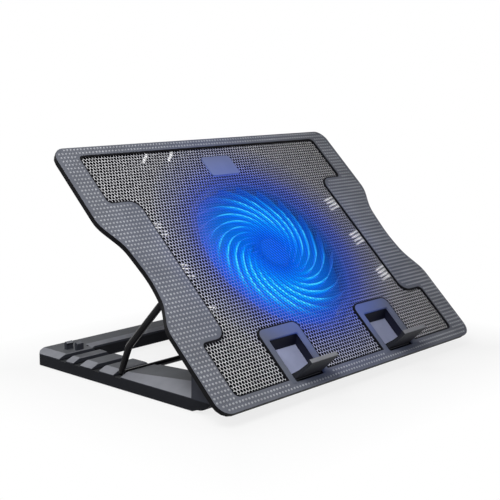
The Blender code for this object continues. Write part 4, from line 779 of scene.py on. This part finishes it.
def make_stop_frames(looks):
    """Smooth raised surround of each stop's window."""
    for side, sign in (("left", -1), ("right", 1)):
        middle = sign * STOP_OFFSET
        half = STOP_FRAME_WIDTH / 2 - BEZEL_EDGE
        front, rear = WINDOW_FRONT - STOP_FRAME_LIP, STOP_FRAME_END - BEZEL_EDGE
        rear_corner = STOP_FRAME_CORNER - BEZEL_EDGE
        outer = [
            (middle - half, front, STOP_FRAME_FRONT_CORNER),
            (middle + half, front, STOP_FRAME_FRONT_CORNER),
            (middle + half, rear, rear_corner),
            (middle - half, rear, rear_corner),
        ]
        half = WINDOW_WIDTH / 2 + BEZEL_EDGE
        front, rear = WINDOW_FRONT - BEZEL_EDGE / 2, WINDOW_END + BEZEL_EDGE
        window = [
            (middle - half, front, STOP_FRAME_FRONT_CORNER),
            (middle + half, front, STOP_FRAME_FRONT_CORNER),
            (middle + half, rear, WINDOW_CORNER),
            (middle - half, rear, WINDOW_CORNER),
        ]
        name = "stop_frame_" + side
        loops = [rounded(outer), rounded(window, SMALL_ARC_STEPS)]
        mesh = filled(name, loops, -STOP_FRAME_SINK, STOP_FRAME_RISE)
        add_piece(name, mesh, [looks["bezel_smooth"]], "deck")


def dot_places():
    """A square grid over the bezel's textured faces, clear of the stop frames."""
    columns = int(REAR_HALF / DOT_PITCH)
    rows = int(DECK_DEPTH / DOT_ROW)
    grid = np.array(
        [
            (column * DOT_PITCH, (row + DOT_PHASE) * DOT_ROW)
            for row in range(rows + 1)
            for column in range(-columns, columns + 1)
        ]
    )
    keep = inside(deck_outline(-DOT_MARGIN), grid)
    keep &= ~inside(opening_outline(DOT_MARGIN), grid)
    x, y = grid[:, 0], grid[:, 1]
    by_frame = np.abs(np.abs(x) - STOP_OFFSET) < STOP_FRAME_WIDTH / 2 + DOT_RADIUS
    by_frame &= (y > WINDOW_FRONT - DOT_MARGIN) & (y < STOP_FRAME_END + DOT_MARGIN)
    return grid[keep & ~by_frame]


def make_dots(looks):
    """Low domes over the bezel, all in one mesh."""
    rings = [
        (DOT_RADIUS, -DOT_SINK),
        (DOT_RADIUS * DOT_SHOULDER_RADIUS, DOT_HEIGHT * DOT_SHOULDER_HEIGHT),
        (DOT_RADIUS * DOT_CROWN_RADIUS, DOT_HEIGHT),
    ]
    shape = np.array([(x, y, height) for r, height in rings for x, y in circle(r, DOT_SIDES)])
    faces = []
    for ring in range(len(rings) - 1):
        for side in range(DOT_SIDES):
            after = (side + 1) % DOT_SIDES
            low, high = ring * DOT_SIDES, (ring + 1) * DOT_SIDES
            faces.append((low + side, low + after, high + after, high + side))
    top = (len(rings) - 1) * DOT_SIDES
    faces.append(tuple(range(top, top + DOT_SIDES)))
    places = dot_places()
    places = np.column_stack([places, np.zeros(len(places))])
    points = (places[:, None, :] + shape[None]).reshape(-1, 3)
    starts = range(0, len(points), len(shape))
    all_faces = [tuple(start + corner for corner in face) for start in starts for face in faces]
    mesh = bpy.data.meshes.new("bezel_dots")
    mesh.from_pydata(points.tolist(), [], all_faces)
    smooth(mesh, DOT_SMOOTH_UNDER)
    add_piece("bezel_dots", mesh, [looks["bezel_dot"]], "deck")


def hole_places():
    """The middles of the sheet's holes, in staggered rows that reach under the bezel."""
    rows = int(DECK_DEPTH / HOLE_ROW)
    columns = int(UPPER_LOBE_WIDTH / HOLE_PITCH)
    first, last = -columns // 2 - SPARE_COLUMNS, columns // 2 + SPARE_COLUMNS
    grid = np.array(
        [
            ((column + 0.5 * (row % 2)) * HOLE_PITCH, row * HOLE_ROW)
            for row in range(rows + 1)
            for column in range(first, last + 1)
        ]
    )
    return grid[inside(opening_outline(SHEET_LAP), grid)]


def make_sheet(looks):
    """The perforated sheet: a six-sided cell for each hole, joined edge to edge."""
    tall = (HOLE_PITCH**2 / 4 + HOLE_ROW**2) / (2 * HOLE_ROW)
    short = HOLE_ROW - tall
    half = HOLE_PITCH / 2
    right = [(0, -tall), (half, -short), (half, short)]
    left = [(0, tall), (-half, short), (-half, -short)]
    cell = np.array(left + right)
    sides = len(cell)
    grid = hole_places()
    reach = np.hypot(grid[:, 0], grid[:, 1] - FAN_FROM_FRONT)
    share = (reach - WIDE_HOLES_WITHIN) / (EVEN_HOLES_BEYOND - WIDE_HOLES_WITHIN)
    share = np.clip(share, 0, 1)
    over_fan = np.array([HOLE_ACROSS_FAN, HOLE_ALONG_FAN])
    elsewhere = np.array([HOLE_ACROSS, HOLE_ALONG])
    part = over_fan + (elsewhere - over_fan) * share[:, None]
    outer = grid[:, None, :] + cell[None]
    inner = grid[:, None, :] + cell[None] * part[:, None, :]
    points = np.concatenate([outer, inner], axis=1).reshape(-1, 2)
    afters = [(side, (side + 1) % sides) for side in range(sides)]
    ring = np.array([(side, after, sides + after, sides + side) for side, after in afters])
    starts = np.arange(len(grid)) * 2 * sides
    faces = (starts[:, None, None] + ring[None]).reshape(-1, 4)
    whole = np.round(points * MICRONS_IN_METRE).astype(int)
    _, first, index = np.unique(whole, axis=0, return_index=True, return_inverse=True)
    points = points[first]
    faces = index.reshape(-1)[faces]
    mesh = bpy.data.meshes.new("mesh_sheet")
    points = np.column_stack([points, np.full(len(points), -SHEET_TOP)])
    mesh.from_pydata(points.tolist(), [], faces.tolist())
    finishes = [looks["mesh_metal"], looks["seal_black"]]
    replaced = ["mesh_panel"]
    sheet = add_piece("mesh_sheet", mesh, finishes, "deck", replaced=replaced)
    thick = sheet.modifiers.new("thickness", "SOLIDIFY")
    thick.thickness = SHEET_THICKNESS
    thick.offset = -1
    # The hole walls take the black finish: painted shade in the holes
    thick.material_offset_rim = 1


# Fan

def add_hub(work):
    """A cup with a slightly domed crown, turned round the fan's axis."""
    inner = HUB_RADIUS - HUB_WALL
    edge = HUB_EDGE * HUB_EDGE_SHARE
    profile = [
        (0.0, HUB_DOME),
        (HUB_RADIUS * HUB_SHOULDER_SHARE, HUB_SHOULDER),
        (HUB_RADIUS - HUB_EDGE, 0.0),
        (HUB_RADIUS - edge, -edge),
        (HUB_RADIUS, -HUB_EDGE),
        (HUB_RADIUS, -HUB_HEIGHT),
        (inner, -HUB_HEIGHT),
        (inner, -HUB_CROWN),
        (0.0, -HUB_CROWN),
    ]
    chain = [work.verts.new((radius, 0, height - ROTOR_TOP)) for radius, height in profile]
    edges = [work.edges.new(pair) for pair in zip(chain, chain[1:])]
    bmesh.ops.spin(
        work,
        geom=chain + edges,
        cent=(0, 0, 0),
        axis=UP,
        angle=2 * math.pi,
        steps=HUB_STEPS,
        use_merge=True,
    )
    bmesh.ops.remove_doubles(work, verts=work.verts, dist=WELD)
    bmesh.ops.recalc_face_normals(work, faces=work.faces)


def blade_angle(radius):
    return BLADE_SWEEP / 2 * math.log(1 + (radius / BLADE_SWEEP_RADIUS) ** 2)


def add_blade(work, start):
    """A thin leaning blade, narrower along its top edge and thinning to its tip."""
    root = HUB_RADIUS - HUB_WALL / 2
    bottom = -BLADE_TOP - BLADE_HEIGHT
    section = [
        (-BLADE_TOP, BLADE_TOP_SHARE),
        (bottom, 1.0),
        (bottom, -1.0),
        (-BLADE_TOP, -BLADE_TOP_SHARE),
    ]
    rings = []
    for station in range(BLADE_STATIONS):
        share = station / (BLADE_STATIONS - 1)
        radius = root + (BLADE_TIP_RADIUS - root) * share
        thick = BLADE_THICKNESS * (1.0 - BLADE_TIP_THINNING * share) / 2
        ring = []
        for height, side in section:
            low = (-height - BLADE_TOP) / BLADE_HEIGHT
            angle = start + blade_angle(radius) - BLADE_LEAN * low / radius + side * thick / radius
            place = (radius * math.cos(angle), radius * math.sin(angle), height - ROTOR_TOP)
            ring.append(work.verts.new(place))
        rings.append(ring)
    for first, last in zip(rings, rings[1:]):
        for corner in range(len(section)):
            after = (corner + 1) % len(section)
            work.faces.new((first[corner], first[after], last[after], last[corner]))
    work.faces.new(rings[0][::-1])
    work.faces.new(rings[-1])


def make_rotor(looks):
    """Hub cup and swept blades in one lit piece."""
    work = bmesh.new()
    add_hub(work)
    for index in range(BLADES):
        add_blade(work, 2 * math.pi * index / BLADES)
    mesh = bpy.data.meshes.new("lit_rotor")
    work.to_mesh(mesh)
    work.free()
    smooth(mesh, ROTOR_SMOOTH_UNDER)
    finishes = [looks["rotor_blue"]]
    add_piece("lit_rotor", mesh, finishes, "rotor", FAN, ["fan_rotor"])


def make_screen(looks):
    """A fine screen over the drum's air slots, below the blades, its top painted with the fan's blue glow and its
    underside black.
    """
    loops = [circle(radius, SCREEN_STEPS) for radius in (SCREEN_OUTER, SCREEN_INNER)]
    mesh = filled("glow_screen", loops, -SCREEN_BELOW - SCREEN_THICKNESS, -SCREEN_BELOW)
    finishes = [looks["screen_blue"], looks["screen_black"]]
    add_piece("glow_screen", mesh, finishes, "deck", FAN)
    for face in mesh.polygons:
        face.material_index = 0 if face.normal.z > FACES_UP_OVER else 1


# Studio

def seen_directly(tree):
    """1 for what the camera sees, in gloss and through glass too, and 0 for light on the object."""
    path = tree.nodes.new("ShaderNodeLightPath")
    total = path.outputs["Is Camera Ray"]
    for name in ("Is Glossy Ray", "Is Transmission Ray"):
        most = tree.nodes.new("ShaderNodeMath")
        most.operation = "MAXIMUM"
        tree.links.new(total, most.inputs[0])
        tree.links.new(path.outputs[name], most.inputs[1])
        total = most.outputs["Value"]
    return total


def past(look, axis, plain):
    """How far a place lies past the plain middle of the floor, along one axis."""
    return look.math("SUBTRACT", look.math("ABSOLUTE", look.along(axis)), plain)


def make_floor():
    """A pale floor that keeps the object's shadow and runs out to plain white."""
    mesh = bpy.data.meshes.new("floor")
    half = FLOOR_SIZE / 2
    corners = [(-half, -half, 0), (half, -half, 0), (half, half, 0), (-half, half, 0)]
    mesh.from_pydata(corners, [], [(0, 1, 2, 3)])
    floor = bpy.data.objects.new("floor", mesh)
    bpy.context.scene.collection.objects.link(floor)
    look = Look("floor_white")
    look.set(Base_Color=(FLOOR_GREY, FLOOR_GREY, FLOOR_GREY, 1))
    look.set(Roughness=FLOOR_ROUGHNESS, Specular_IOR_Level=0.0)
    white = look.node("ShaderNodeEmission")
    white.inputs["Color"].default_value = (1, 1, 1, 1)
    white.inputs["Strength"].default_value = 1.0
    across = past(look, (1, 0, 0), FLOOR_PLAIN_ACROSS)
    along = past(look, (0, 1, 0), FLOOR_PLAIN_ALONG)
    farther = look.math("MAXIMUM", across, along)
    share = look.spread(farther, FLOOR_WHITE, 1.0, 0.0, FLOOR_FADE)
    mix = look.node("ShaderNodeMixShader")
    look.link(look.math("MULTIPLY", share, seen_directly(look.tree)), mix.inputs["Fac"])
    look.link(look.shader.outputs["BSDF"], mix.inputs[1])
    look.link(white.outputs["Emission"], mix.inputs[2])
    look.link(mix.outputs["Shader"], look.tree.nodes["Material Output"].inputs["Surface"])
    mesh.materials.append(look.material)


def make_world():
    """Soft light from all round, and plain white where the camera sees past the floor."""
    world = bpy.data.worlds.new("studio")
    bpy.context.scene.world = world
    world.use_nodes = True
    tree = world.node_tree
    light = tree.nodes["Background"]
    light.inputs["Color"].default_value = (1, 1, 1, 1)
    light.inputs["Strength"].default_value = WORLD_LIGHT
    white = tree.nodes.new("ShaderNodeBackground")
    white.inputs["Color"].default_value = (1, 1, 1, 1)
    white.inputs["Strength"].default_value = 1.0
    mix = tree.nodes.new("ShaderNodeMixShader")
    tree.links.new(seen_directly(tree), mix.inputs["Fac"])
    tree.links.new(light.outputs["Background"], mix.inputs[1])
    tree.links.new(white.outputs["Background"], mix.inputs[2])
    tree.links.new(mix.outputs["Shader"], tree.nodes["World Output"].inputs["Surface"])


def add_lamp(name, place, target, power, size):
    lamp = bpy.data.lights.new(name, "AREA")
    lamp.energy = power
    lamp.size = size
    made = bpy.data.objects.new(name, lamp)
    made.location = place
    made.rotation_euler = (Vector(target) - Vector(place)).to_track_quat("-Z", "Y").to_euler()
    bpy.context.scene.collection.objects.link(made)


def add_camera():
    """The photograph's camera, as fitted to the deck's corners and edges."""
    camera = bpy.data.cameras.new("camera")
    camera.lens = CAMERA_LENS
    camera.sensor_width = CAMERA_SENSOR
    made = bpy.data.objects.new("camera", camera)
    yaw = Matrix.Rotation(-CAMERA_YAW, 4, "Z")
    pitch = Matrix.Rotation(math.pi / 2 - CAMERA_PITCH, 4, "X")
    roll = Matrix.Rotation(CAMERA_ROLL, 4, "Z")
    made.matrix_world = Matrix.Translation(CAMERA_PLACE) @ (yaw @ pitch) @ roll
    bpy.context.scene.collection.objects.link(made)
    bpy.context.scene.camera = made


def make_studio():
    make_floor()
    make_world()
    for name, lamp in LAMPS.items():
        add_lamp(name, *lamp)
    add_camera()
    bpy.context.scene.view_settings.view_transform = "Standard"


def main():
    looks = make_looks()
    finish_solids(looks)
    make_bezel(looks)
    make_shadow_strip(looks)
    make_stop_frames(looks)
    make_dots(looks)
    make_sheet(looks)
    make_rotor(looks)
    make_screen(looks)
    make_studio()


main()
